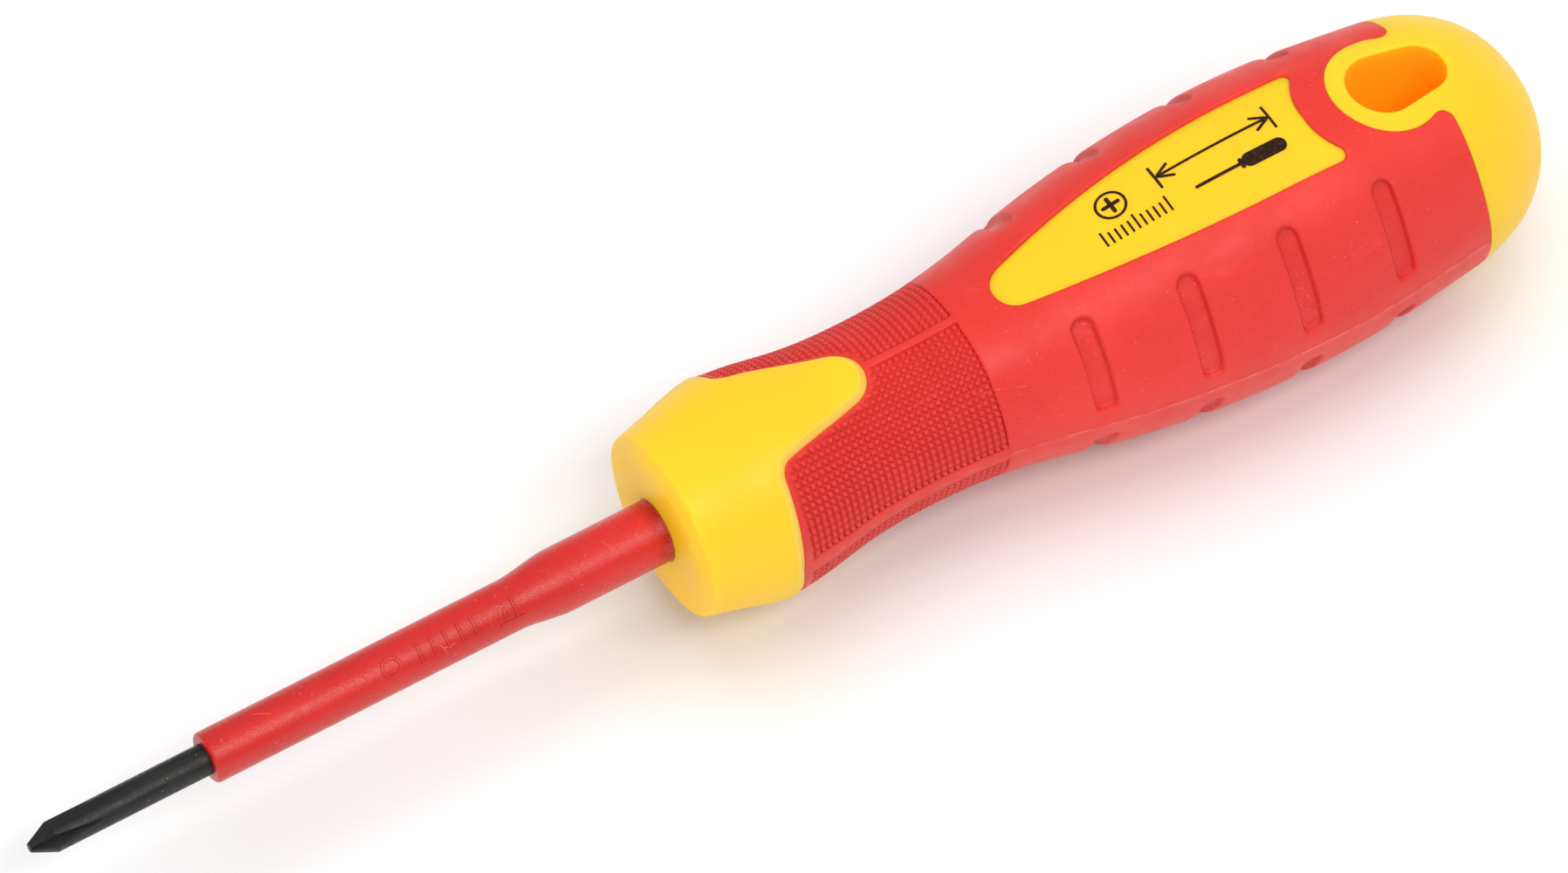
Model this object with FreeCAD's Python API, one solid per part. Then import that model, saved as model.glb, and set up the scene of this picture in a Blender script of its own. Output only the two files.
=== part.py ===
import FreeCAD, Part
import math
import os

# Insulated screwdriver, PH0 x 60, lying with its label side up.
# Everything is drawn along the tool's axis with x = 0 on the collar's flat front face,
# +X towards the domed end and +Z square to the label, and is moved into place at the end.
# The origin is then the middle of the bottom of the whole tool's box.

# Lengths along the axis, mm
BLADE_LENGTH = 60.0          # tip to collar face, the nominal size of the tool
HANDLE_LENGTH = 84.6         # collar face to the top of the dome
BARE_BLADE = 16.7            # blade left bare in front of the sleeve
TANG_END = 54.0              # how far the blade reaches into the handle
SLEEVE_ROOT = 12.0           # how far the sleeve reaches into the handle
FLARE_START = -14.4          # where the sleeve starts to thicken
FLARE_END = -9.4

# Blade
SHANK_RADIUS = 1.38
TIP_RADIUS = 0.4             # flat point of the cross
TIP_HALF_ANGLE = 25.0        # degrees, wing edges to the axis
FLUTE_DEPTH_RADIUS = 0.30    # flute bottom to the axis at the point
FLUTE_SLOPE = 9.5            # degrees, flute bottom to the axis
FLUTE_ROLL = 55.0            # degrees, first flute about the axis from +Z
WING_WIDTH = 5.4             # swaged ears that stop the blade turning in the handle
WING_LENGTH = 9.0
WING_THICKNESS = 1.2
WING_START = 26.0

# Sleeve
SLEEVE_THIN_RADIUS = 2.28
SLEEVE_THICK_RADIUS = 2.81
SLEEVE_NECK_RADIUS = 2.45    # inside the handle
SLEEVE_EDGE = 0.35           # rounding of the front end

# First shot of the handle, round the tang
CORE_START = SLEEVE_ROOT
CORE_END = 57.0
CORE_FRONT_RADIUS = 4.2
CORE_REAR_RADIUS = 5.6
CORE_EDGE = 0.8

# Handle
COLLAR_REAR = 8.6            # side edge of the collar, where the soft grip starts
COLLAR_FACE_RADIUS = 6.8     # flat front face of the collar
COLLAR_BEVEL = 0.6           # how far behind that face its bevel reaches the cone
COLLAR_BEVEL_RADIUS = 8.3
GRIP_END = 74.55             # rear edge of the soft grip
FACETS = 6
PAD_RECESS = 0.4             # label pad below the grip
PAD_FLOOR = 4.0              # pads, rings and tongues start this far from the axis
GRIP_WALL_WAIST = 1.5        # soft layer's thickness
GRIP_WALL_BULGE = 2.2
RELIEF_END = 76.5            # rear end of the hard layer under the grip, inside the dome

# Facet radius and hexagon bulge of the grip and dome along the axis: x, radius, bulge.
# The radius at an angle f from a facet's middle is radius + bulge * (1 - cos 6f).
BODY_PROFILE = [
    (7.4, 10.00, 0.05), (11.65, 9.57, 0.04), (15.4, 8.93, 0.02), (21.9, 8.51, 0.02), (28.0, 8.77, 0.04),
    (33.0, 9.49, 0.09), (37.7, 10.49, 0.13), (43.1, 11.49, 0.16), (50.0, 12.33, 0.18), (58.5, 12.71, 0.19),
    (66.0, 12.36, 0.18), (72.0, 11.66, 0.15), (76.5, 10.87, 0.12), (80.0, 9.20, 0.07), (82.9, 6.20, 0.03),
    (HANDLE_LENGTH, 0.0, 0.0),
]
# The collar's cone, which runs on as the top of the tongues
COLLAR_PROFILE = [
    (0.0, 8.12, 0.08), (3.8, 9.06, 0.09), (7.4, 9.97, 0.10), (9.2, 10.16, 0.10), (11.65, 10.00, 0.08),
    (15.4, 9.40, 0.04), (19.1, 9.06, 0.03), (22.0, 8.95, 0.02),
]

# Tongue of the collar, in plan
TONGUE_TIP = 19.9
TONGUE_NOSE = 2.8            # radius of the tip
TONGUE_LEAN = 74.8           # degrees, from the axis to the square of the straight sides
TONGUE_FILLET = 1.6          # where the sides run into the collar's edge
TONGUE_SLANT = 0.5           # how much narrower the top is
SLANT_LOW = 8.0              # the sides slant between these distances from the axis
SLANT_HIGH = 9.4

# Label window, in plan
LABEL_FRONT = 32.7
LABEL_NOSE = 2.35
LABEL_NOSE_END = 104.0       # degrees, where the nose runs into the long side
LABEL_REAR = 64.3
LABEL_HALF_WIDTH = 5.15
LABEL_WIDEST = 57.0
LABEL_MIDDLE = (45.0, 4.27)  # a point on the curved long side
LABEL_HOLLOW = 1.3           # how far the rear edge is hollowed
LABEL_HOLLOW_SIDE = 0.94     # how far it is hollowed halfway to a corner
LABEL_CORNER = 0.7
LABEL_CORNER_END = -30.0     # degrees, where a corner runs into the rear edge

# Hanging hole and its ring, in plan
HOLE_FRONT_CENTRE = 70.75
HOLE_FRONT_RADIUS = 3.1
HOLE_REAR_CENTRE = 74.25
HOLE_REAR_RADIUS = 2.5
RING_CENTRE = 71.0
RING_RADIUS = 5.05
FINGER_TIP = 1.0             # rounding of the grip's points beside the ring

# Cross slots of the grip
SLOT_FIRST = 37.5
SLOT_PITCH = 9.38
SLOT_COUNT = 4
SLOT_WIDTH = 1.9
SLOT_DEPTH = 0.55
SLOT_SPAN = 9.3              # length across the facet
SLOT_ANGLE = 57.0            # middle of a slot row, degrees from the label's middle
SLOT_ROOT = 7.0              # cutters start this far from the axis

REACH = 30.0                 # longer than anything across the tool
POLES = 24                   # control points round a section
CUBIC = 3

AXIS = FreeCAD.Vector(1, 0, 0)
CENTRE = FreeCAD.Vector(0, 0, 0)
TOOL_CENTRE = (HANDLE_LENGTH - BLADE_LENGTH) / 2


def harmonic(order, index):
    """Control point number index of a closed cubic curve that follows a turning unit vector."""
    step = 2 * math.pi / POLES
    shrink = (2 + math.cos(order * step)) / CUBIC
    return math.sin(order * index * step) / shrink, math.cos(order * index * step) / shrink


def section_pole(x, radius, bulge, index):
    """Control point of the rounded hexagon radius + bulge * (1 - cos 6f) at x."""
    round_y, round_z = harmonic(1, index)
    fast_y, fast_z = harmonic(1 + FACETS, index)
    slow_y, slow_z = harmonic(1 - FACETS, index)
    y = (radius + bulge) * round_y - bulge / 2 * (fast_y + slow_y)
    z = (radius + bulge) * round_z - bulge / 2 * (fast_z + slow_z)
    return FreeCAD.Vector(x, -y, z)


def envelope(profile, inset=0.0, domed=False):
    """Solid inside a profile of (x, radius, bulge) stations, closed by flat ends or a dome."""
    stations = [FreeCAD.Vector(x, max(radius - inset, 0.0), bulge) for x, radius, bulge in profile]
    if domed and inset:
        stations[-1] = stations[-1] - FreeCAD.Vector(inset, 0, 0)
    curve = Part.BSplineCurve()
    if domed:
        first = (stations[1] - stations[0]).normalize()
        curve.interpolate(Points=stations, InitialTangent=first, FinalTangent=FreeCAD.Vector(0, -1, 0))
    else:
        curve.interpolate(Points=stations)
    poles = [[section_pole(p.x, p.y, p.z, i) for p in curve.getPoles()] for i in range(POLES)]
    surface = Part.BSplineSurface()
    surface.buildFromPolesMultsKnots(
        poles, [1] * (POLES + 1), curve.getMultiplicities(), list(range(POLES + 1)), curve.getKnots(),
        True, False, CUBIC, CUBIC)
    ends = [curve.FirstParameter] if domed else [curve.FirstParameter, curve.LastParameter]
    faces = [surface.toShape()]
    faces += [Part.Face(Part.Wire([surface.vIso(v).toShape()])) for v in ends]
    shell = Part.Shell(faces)
    shell.sewShape()
    solid = Part.Solid(shell)
    if solid.Volume < 0:
        solid.reverse()
    return solid


def slab(x_low, x_high):
    """Everything between two planes across the axis."""
    corner = FreeCAD.Vector(x_low, -REACH, -REACH)
    return Part.makeBox(x_high - x_low, 2 * REACH, 2 * REACH, corner)


def turned(points):
    """Solid of revolution about the axis from (x, radius) corners."""
    outline = [FreeCAD.Vector(x, 0, radius) for x, radius in points]
    face = Part.Face(Part.makePolygon(outline + outline[:1]))
    return face.revolve(CENTRE, AXIS, 360)


def on_plan(x, y, z=0.0):
    return FreeCAD.Vector(x, y, z)


def mirrored_outline(points, z):
    """Closed plan outline from one half's pieces, each (start, end) or (start, through, end)."""
    edges = []
    for side in (1, -1):
        for piece in points:
            ends = [on_plan(x, side * y, z) for x, y in piece]
            edge = Part.LineSegment(*ends) if len(ends) == 2 else Part.Arc(*ends)
            edges.append(edge.toShape())
    return Part.Wire(Part.__sortEdges__(edges))


def upright(wire, height):
    return Part.Face(wire).extrude(FreeCAD.Vector(0, 0, height))


def both_sides(shape):
    """The shape with its twin on the opposite label side."""
    twin = shape.mirror(CENTRE, FreeCAD.Vector(0, 0, 1))
    return [shape, twin]


def arc_point(x, y, radius, degrees):
    angle = math.radians(degrees)
    return x + radius * math.cos(angle), y + radius * math.sin(angle)


def make_flute(roll):
    """Right-angled groove that runs out of the shank along a slope."""
    apex = BLADE_LENGTH + SHANK_RADIUS
    rise = math.tan(math.radians(FLUTE_SLOPE))
    low = FLUTE_DEPTH_RADIUS - rise * SHANK_RADIUS
    wide = 3 * SHANK_RADIUS
    corners = [
        FreeCAD.Vector(-apex, 0, low),
        FreeCAD.Vector(-apex, wide, low + wide),
        FreeCAD.Vector(-apex, -wide, low + wide),
    ]
    face = Part.Face(Part.makePolygon(corners + corners[:1]))
    groove = face.extrude(FreeCAD.Vector(REACH, 0, REACH * rise))
    groove.rotate(CENTRE, AXIS, roll)
    return groove


def make_blade():
    """Round shank with a crosshead point, and a tang with swaged ears inside the handle."""
    taper = (SHANK_RADIUS - TIP_RADIUS) / math.tan(math.radians(TIP_HALF_ANGLE))
    blade = turned([
        (-BLADE_LENGTH, 0), (-BLADE_LENGTH, TIP_RADIUS), (-BLADE_LENGTH + taper, SHANK_RADIUS),
        (TANG_END, SHANK_RADIUS), (TANG_END, 0),
    ])
    for turn in range(4):
        blade = blade.cut(make_flute(FLUTE_ROLL + 90 * turn))
    corner = FreeCAD.Vector(WING_START, -WING_WIDTH / 2, -WING_THICKNESS / 2)
    ears = Part.makeBox(WING_LENGTH, WING_WIDTH, WING_THICKNESS, corner)
    upright_edges = [e for e in ears.Edges if e.BoundBox.ZLength > WING_THICKNESS / 2]
    return blade.fuse(ears.makeFillet(WING_THICKNESS, upright_edges)).removeSplitter()


def sleeve_space():
    """Outside of the sleeve, with a rounded front end and an even flare."""
    front = -(BLADE_LENGTH - BARE_BLADE)
    edge = SLEEVE_EDGE
    thin = SLEEVE_THIN_RADIUS
    thick = SLEEVE_THICK_RADIUS
    middle = (FLARE_START + FLARE_END) / 2
    corner = arc_point(front + edge, thin - edge, edge, 135)
    flare = Part.BSplineCurve()
    flare.interpolate(
        Points=[FreeCAD.Vector(FLARE_START, 0, thin), FreeCAD.Vector(middle, 0, (thin + thick) / 2),
                FreeCAD.Vector(FLARE_END, 0, thick)],
        InitialTangent=AXIS, FinalTangent=AXIS)
    neck = SLEEVE_NECK_RADIUS
    corners = [(0, thick), (0, neck), (SLEEVE_ROOT, neck), (SLEEVE_ROOT, 0), (front, 0), (front, thin - edge)]
    path = [FreeCAD.Vector(x, 0, radius) for x, radius in corners]
    rounding = [FreeCAD.Vector(front, 0, thin - edge), FreeCAD.Vector(corner[0], 0, corner[1]),
                FreeCAD.Vector(front + edge, 0, thin)]
    edges = [Part.LineSegment(a, b).toShape() for a, b in zip(path, path[1:])]
    edges.append(Part.Arc(*rounding).toShape())
    edges.append(Part.LineSegment(rounding[-1], FreeCAD.Vector(FLARE_START, 0, thin)).toShape())
    edges.append(flare.toShape())
    edges.append(Part.LineSegment(FreeCAD.Vector(FLARE_END, 0, thick), path[0]).toShape())
    return Part.Face(Part.Wire(edges)).revolve(CENTRE, AXIS, 360)


def core_space():
    """Outside of the first shot of hard plastic round the tang."""
    edge = CORE_EDGE
    return turned([
        (CORE_START, 0), (CORE_START, CORE_FRONT_RADIUS - edge), (CORE_START + edge, CORE_FRONT_RADIUS),
        (CORE_END - edge, CORE_REAR_RADIUS), (CORE_END, CORE_REAR_RADIUS - edge), (CORE_END, 0),
    ])


def tongue_outline(inset, z):
    """Collar and tongue in plan, narrower all round by the inset."""
    lean = math.radians(TONGUE_LEAN)
    nose = TONGUE_NOSE - inset
    nose_centre = TONGUE_TIP - TONGUE_NOSE
    shoulder = arc_point(nose_centre, 0, nose, TONGUE_LEAN)
    bow = arc_point(nose_centre, 0, nose, TONGUE_LEAN / 2)
    fillet = TONGUE_FILLET + inset
    foot_x = COLLAR_REAR + TONGUE_FILLET
    foot_y = (TONGUE_NOSE + TONGUE_FILLET + (nose_centre - foot_x) * math.cos(lean)) / math.sin(lean)
    foot_start = TONGUE_LEAN - 180
    foot = arc_point(foot_x, foot_y, fillet, foot_start)
    foot_middle = arc_point(foot_x, foot_y, fillet, (foot_start - 180) / 2)
    root = (COLLAR_REAR - inset, foot_y)
    far = (COLLAR_REAR - inset, REACH / 2)
    return mirrored_outline([
        ((TONGUE_TIP - inset, 0), bow, shoulder), (shoulder, foot), (foot, foot_middle, root), (root, far),
        (far, (-1.0, REACH / 2)), ((-1.0, REACH / 2), (-1.0, 0)),
    ], z)


def make_tongue_space():
    """Slant-sided space of the collar and its tongue on one label side."""
    levels = [(0.0, PAD_FLOOR), (0.0, SLANT_LOW), (TONGUE_SLANT, SLANT_HIGH), (TONGUE_SLANT, REACH)]
    wires = [tongue_outline(inset, z) for inset, z in levels]
    return Part.makeLoft(wires, True, True)


def label_outline(z):
    """Bullet-shaped window with a hollow rear edge."""
    nose_centre = LABEL_FRONT + LABEL_NOSE
    shoulder = arc_point(nose_centre, 0, LABEL_NOSE, LABEL_NOSE_END)
    bow = arc_point(nose_centre, 0, LABEL_NOSE, (180 + LABEL_NOSE_END) / 2)
    rear = LABEL_REAR - LABEL_CORNER
    corner_centre = (rear, LABEL_HALF_WIDTH - LABEL_CORNER)
    corner_top = (rear, LABEL_HALF_WIDTH)
    corner_middle = arc_point(*corner_centre, LABEL_CORNER, (90 + LABEL_CORNER_END) / 2)
    corner_end = arc_point(*corner_centre, LABEL_CORNER, LABEL_CORNER_END)
    return mirrored_outline([
        ((LABEL_FRONT, 0), bow, shoulder), (shoulder, LABEL_MIDDLE, (LABEL_WIDEST, LABEL_HALF_WIDTH)),
        ((LABEL_WIDEST, LABEL_HALF_WIDTH), corner_top), (corner_top, corner_middle, corner_end),
        (corner_end, (LABEL_REAR - LABEL_HOLLOW_SIDE, LABEL_HALF_WIDTH / 2),
         (LABEL_REAR - LABEL_HOLLOW, 0)),
    ], z)


def hole_outline(z):
    """Egg-shaped outline of the hanging hole."""
    front = HOLE_FRONT_RADIUS
    rear = HOLE_REAR_RADIUS
    lean = math.degrees(math.acos((rear - front) / (HOLE_REAR_CENTRE - HOLE_FRONT_CENTRE)))
    front_touch = arc_point(HOLE_FRONT_CENTRE, 0, front, 180 - lean)
    rear_touch = arc_point(HOLE_REAR_CENTRE, 0, rear, 180 - lean)
    front_middle = arc_point(HOLE_FRONT_CENTRE, 0, front, 180 - lean / 2)
    rear_middle = arc_point(HOLE_REAR_CENTRE, 0, rear, (180 - lean) / 2)
    return mirrored_outline([
        ((HOLE_FRONT_CENTRE - front, 0), front_middle, front_touch), (front_touch, rear_touch),
        (rear_touch, rear_middle, (HOLE_REAR_CENTRE + rear, 0)),
    ], z)


def hole_space():
    return upright(hole_outline(-REACH), 2 * REACH)


def ring_space():
    """Ring round the hole and the dome behind it, joined by small fillets."""
    tip_x = GRIP_END - FINGER_TIP
    tip_y = math.sqrt((RING_RADIUS + FINGER_TIP) ** 2 - (tip_x - RING_CENTRE) ** 2)
    lean = math.degrees(math.atan2(tip_y, tip_x - RING_CENTRE))
    touch = arc_point(RING_CENTRE, 0, RING_RADIUS, lean)
    bow = arc_point(RING_CENTRE, 0, RING_RADIUS, (180 + lean) / 2)
    tip_middle = arc_point(tip_x, tip_y, FINGER_TIP, lean / 2 - 90)
    rear = HANDLE_LENGTH + 1
    outline = mirrored_outline([
        ((RING_CENTRE - RING_RADIUS, 0), bow, touch), (touch, tip_middle, (GRIP_END, tip_y)),
        ((GRIP_END, tip_y), (GRIP_END, REACH / 2)), ((GRIP_END, REACH / 2), (rear, REACH / 2)),
        ((rear, REACH / 2), (rear, 0)),
    ], PAD_FLOOR)
    return upright(outline, REACH)


def hard_core():
    """Hard layer under the soft grip, thinner than the handle by the grip's wall."""
    stations = []
    for x, radius, bulge in BODY_PROFILE:
        wall = GRIP_WALL_BULGE if x > LABEL_FRONT else GRIP_WALL_WAIST
        if x <= RELIEF_END:
            stations.append((x, radius - wall, bulge))
    return envelope(stations).common(slab(0, RELIEF_END))


def bevel_space():
    """Cone that cuts the bevel of the collar's front edge, with everything behind it."""
    slope = (COLLAR_BEVEL_RADIUS - COLLAR_FACE_RADIUS) / COLLAR_BEVEL
    wide_x = (REACH - COLLAR_FACE_RADIUS) / slope
    return turned([(0, 0), (0, COLLAR_FACE_RADIUS), (wide_x, REACH), (REACH, REACH), (REACH, 0)])


def outer_hard_shape(body):
    """Everything of the handle that is hard plastic, before the insides are taken out."""
    collar = envelope(COLLAR_PROFILE).common(bevel_space())
    pads = envelope(BODY_PROFILE, PAD_RECESS, True)
    pieces = [hard_core(), body.common(slab(GRIP_END, HANDLE_LENGTH + 1))]
    pieces.append(collar.common(slab(-1, COLLAR_REAR)))
    pieces += [collar.common(space) for space in both_sides(make_tongue_space())]
    pieces += [pads.common(space) for space in both_sides(upright(label_outline(PAD_FLOOR), REACH))]
    pieces += [body.common(space) for space in both_sides(ring_space())]
    return pieces[0].multiFuse(pieces[1:]).cut(hole_space())


def slot_bar(x):
    """Round-ended bar that stands over one slot of the facet above the axis."""
    straight = SLOT_SPAN - SLOT_WIDTH
    corner = FreeCAD.Vector(x - SLOT_WIDTH / 2, -straight / 2, SLOT_ROOT)
    bar = Part.makeBox(SLOT_WIDTH, straight, REACH, corner)
    ends = [
        Part.makeCylinder(SLOT_WIDTH / 2, REACH, FreeCAD.Vector(x, side * straight / 2, SLOT_ROOT))
        for side in (-1, 1)]
    return bar.multiFuse(ends).removeSplitter()


def make_slots():
    """Round-ended grooves of even depth across the four facets beside the labels."""
    floor = envelope(BODY_PROFILE, SLOT_DEPTH, True)
    slots = []
    for number in range(SLOT_COUNT):
        bar = slot_bar(SLOT_FIRST + number * SLOT_PITCH)
        for angle in (SLOT_ANGLE, 180 - SLOT_ANGLE, 180 + SLOT_ANGLE, -SLOT_ANGLE):
            slot = bar.copy()
            slot.rotate(CENTRE, AXIS, angle)
            slots.append(slot.cut(floor))
    return slots


def make_grip(body, hard):
    """Soft layer between collar and dome, open at the labels and round the hanging hole."""
    windows = both_sides(upright(label_outline(PAD_FLOOR), REACH)) + both_sides(ring_space())
    return body.common(slab(COLLAR_REAR, GRIP_END)).cut(hard).cut([hole_space()] + windows + make_slots())


def main():
    os.makedirs("parts", exist_ok=True)
    body = envelope(BODY_PROFILE, domed=True)
    blade = make_blade()
    sleeve = sleeve_space()
    core = core_space()
    hard = outer_hard_shape(body)
    parts = {
        "blade": blade,
        "blade_sleeve": sleeve.cut(blade),
        "tang_core": core.cut(blade),
        "handle_body": hard.cut([sleeve, core]),
        "grip": make_grip(body, hard),
    }
    rest = min(shape.optimalBoundingBox(False).ZMin for shape in parts.values())
    for name, shape in parts.items():
        shape.translate(FreeCAD.Vector(-TOOL_CENTRE, 0, -rest))
        shape.exportStep(f"parts/{name}.step")
        box = shape.optimalBoundingBox(False)
        print(name, len(shape.Solids), shape.isValid(), round(shape.Volume, 1), "z", round(box.ZMin, 3),
              round(box.ZMax, 3), "x", round(box.XMin, 2), round(box.XMax, 2))


main()
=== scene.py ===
import math

import bmesh
import bpy
import numpy as np
from mathutils import Matrix, Vector
from mathutils.geometry import delaunay_2d_cdt


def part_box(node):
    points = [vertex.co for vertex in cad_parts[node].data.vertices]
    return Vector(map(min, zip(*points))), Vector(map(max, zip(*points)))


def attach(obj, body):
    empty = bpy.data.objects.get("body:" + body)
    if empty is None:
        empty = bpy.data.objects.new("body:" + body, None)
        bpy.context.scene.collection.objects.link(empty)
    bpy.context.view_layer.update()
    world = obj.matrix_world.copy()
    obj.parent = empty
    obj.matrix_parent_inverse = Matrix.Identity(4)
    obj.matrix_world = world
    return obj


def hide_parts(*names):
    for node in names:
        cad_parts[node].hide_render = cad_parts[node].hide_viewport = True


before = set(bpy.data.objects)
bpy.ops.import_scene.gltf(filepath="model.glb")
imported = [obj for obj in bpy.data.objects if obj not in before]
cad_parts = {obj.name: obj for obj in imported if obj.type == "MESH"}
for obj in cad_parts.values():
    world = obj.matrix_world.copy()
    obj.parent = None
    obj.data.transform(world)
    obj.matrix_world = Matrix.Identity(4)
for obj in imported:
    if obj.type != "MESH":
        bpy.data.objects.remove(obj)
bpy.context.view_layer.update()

# Lengths are in mm, except where said. x = 0 is the collar's front face, the blade is at
# negative x, and a turn of 0 looks at the middle of the label.
MM = 0.001
COLLAR_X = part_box("handle_body")[0].x
AXIS_Z = (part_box("blade_sleeve")[0].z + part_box("blade_sleeve")[1].z) / 2
HANDLE_LENGTH = (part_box("handle_body")[1].x - COLLAR_X) / MM
FACETS = 6
QUARTER = math.pi / 2
UNROLL = 11.46  # unrolled width for each radian of turn
WELD = 2e-7  # metres between points that become one
SAME_POINT, TINY, CDT_TOLERANCE = 1e-6, 1e-9, 1e-5
CHUNK = 2000  # points whose distances are worked out together
# Degrees between faces that meet in a sharp edge
SHARP_GRIP, SHARP_BODY, SHARP_SLEEVE, SHARP_MARK = 78, 50, 40, 40

# Points of the surfaces: how far apart, and how far from those that are already there
MESH_WAIST, MESH_BULGE, MESH_CORE = (0.3, 0.13), (0.75, 0.3), (0.9, 0.4)
MESH_COLLAR, MESH_PAD, MESH_DOME = (0.55, 0.3), (0.7, 0.3), (0.6, 0.25)
SIDE_GAP, CORE_SIDE_GAP = 0.02, 0.05  # radians left free beside the points of a side
GRIP_END_GAP = 0.4  # left free at the ends of the grip
WAIST_OVERLAP = 0.6  # the fine points run on this far behind the pattern
BULGE_GAP = 0.9  # and the coarse ones start here
# Points along the mould line: gap at the front, gap at the rear, step
RIM_CORE, RIM_COLLAR, RIM_DOME = (0.7, 0.5, 0.8), (0.5, 1.2, 0.4), (0.6, 0.2, 0.5)
PAD_TURN = 0.5  # radians that hold a pad
FACE_RINGS = (0.33, 0.66)  # rings of the collar's face, as shares of the way to the bore

# Stations of the grip and dome: x, facet radius, hexagon bulge
BODY_STATIONS = [
    (7.4, 10.00, 0.05), (11.65, 9.57, 0.04), (15.4, 8.93, 0.02), (21.9, 8.51, 0.02),
    (28.0, 8.77, 0.04), (33.0, 9.49, 0.09), (37.7, 10.49, 0.13), (43.1, 11.49, 0.16),
    (50.0, 12.33, 0.18), (58.5, 12.71, 0.19), (66.0, 12.36, 0.18), (72.0, 11.66, 0.15),
    (76.5, 10.87, 0.12), (80.0, 9.20, 0.07), (82.9, 6.20, 0.03), (HANDLE_LENGTH, 0.0, 0.0),
]
# Stations of the collar's cone, which runs on as the top of the tongues
COLLAR_STATIONS = [
    (0.0, 8.12, 0.08), (3.8, 9.06, 0.09), (7.4, 9.97, 0.10), (9.2, 10.16, 0.10), (11.65, 10.00, 0.08),
    (15.4, 9.40, 0.04), (19.1, 9.06, 0.03), (22.0, 8.95, 0.02),
]

COLLAR_REAR = 8.6
COLLAR_EDGE = (8.85, 8.2)  # its rear edge, beside the tongue and at the mould line
# Front edge of the collar: distance behind the face, depth below the cone
COLLAR_BEVEL = [(1.2, 0.0), (0.85, 0.0), (0.68, 0.03), (0.56, 0.13), (0.45, 0.32), (0.30, 0.65),
                (0.15, 0.99), (0.06, 1.20), (0.0, 1.42)]
TONGUE_TIP, TONGUE_NOSE, TONGUE_FILLET = 19.9, 2.8, 1.6
TONGUE_LEAN = math.radians(74.8)
LABEL_FRONT, LABEL_REAR, LABEL_NOSE = 32.7, 64.3, 2.35
LABEL_NOSE_END = 104  # degrees, where the nose runs into the long side
LABEL_HALF_WIDTH, LABEL_WIDEST = 5.15, 57.0  # half width, and where it is reached
LABEL_MIDDLE = (45.0, 4.27)  # a point of the long side
LABEL_HOLLOW = 1.3  # how far the rear edge is hollowed
LABEL_HOLLOW_SIDE = 0.72  # share of that halfway to a corner
LABEL_CORNER, LABEL_CORNER_END = 0.7, -30  # radius, and the angle where it ends
PAD_RECESS = 0.4
HOLE_FRONT = (70.75, 3.1)  # centre and radius of the hanging hole's ends
HOLE_REAR = (74.25, 2.5)
HOLE_MOUTH = 0.28
RING_CENTRE, RING_RADIUS = 71.0, 5.05
FINGER_TIP = 1.0  # radius of the grip's tips beside the ring
GRIP_END, DOME_START = 74.55, 78.0
DOME_GAP = 0.3  # from there to the dome's first ring
DOME_SKIP = 9  # one ring for every so many points of the curve
GRIP_WALL_WAIST, GRIP_WALL_BULGE = 1.5, 2.2
GRIP_WALL_EVEN = 38.0  # where the grip has reached its full thickness
BORE_RADIUS, BORE_DEPTH = 2.45, 12.0
CORE_END, CORE_RADII, CORE_EDGE = 57.0, (4.2, 5.6), 0.8

# Edges where the two plastics meet
LABEL_LIP, SEAM_LIP = 0.22, 0.10
# Last row of points beside a rounded edge: distance, depth
BESIDE_LABEL, BESIDE_RING, BESIDE_TONGUE = (0.4, 0.0), (0.25, 0.0), (0.25, 0.02)
BESIDE_HOLE = (HOLE_MOUTH + 0.2, 0.0)
# Slanted wall of collar and tongues: distance from its foot, share of the foot's radius,
# depth below the cone, share of the painted highlight
WALL = [(0.0, 1.0, 0.0, 1.0), (0.05, 0.95, 0.0, 1.0), (0.16, 0.80, 0.0, 1.0), (0.35, 0.50, 0.0, 1.0),
        (0.54, 0.20, 0.0, 1.0), (0.63, 0.06, 0.0, 0.8), (0.72, 0.0, 0.035, 0.25),
        (0.82, 0.0, 0.055, 0.0), (0.95, 0.0, 0.03, 0.0), (1.1, 0.0, 0.0, 0.0)]

# Fine pattern of the waist
PATTERN_END, PATTERN_PITCH, PATTERN_COLUMNS = 28.75, 0.6255, 31
ROW_PITCH, ROW_COUNT, ROW_TOP = math.radians(4.19), 14, math.radians(61.5)
RIB_PITCH, RIB_BLOCKS = math.radians(4.6), 5
PATTERN_DEPTH = 0.26
PATTERN_SUNK = 0.03  # tops of the cubes below the smooth grip
PATTERN_MARGIN = 0.42  # smooth band beside the tongue
PATTERN_FADE = 2.4  # margins from the tongue where grooves reach their full depth
PATTERN_SHALLOW = 0.45  # share of that depth at the margin
RIB_NOTCH = 0.5  # height of the grooves across the ribs
STRIPE_START = TONGUE_TIP + 0.6  # start of the pattern's edge beside the plain stripe
SIDE_START = COLLAR_REAR + 1.0  # and at the mould line
PATTERN_SHADE = 0.36  # how dark the painted shade in the grooves is
STRIPE_NOTCH = 0.5  # height of the first groove, beside the plain stripe
# Smooth grip beside the pattern: distance from it, depth
PATTERN_BORDER = [(0.05, 0.10), (0.11, 0.03), (0.2, 0.0)]
# One cube and the groove before it: place in the pitch, height
STEPS = [(0.0, 0.0), (0.13, 0.14), (0.24, 1.0), (0.76, 1.0), (0.87, 0.14)]

# Cross slots
SLOT_FIRST, SLOT_PITCH = 37.5, 9.38
SLOT_MIDDLES = np.radians([56.0, 58.2, 58.5, 58.0])
SLOT_HALVES = np.radians([24.6, 23.6, 23.0, 22.2])
SLOT_SQUARE = 0.6  # 1 would make a slot's lower end round, 0 square
SLOT_CLEAR = 0.35  # room kept round a slot
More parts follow.
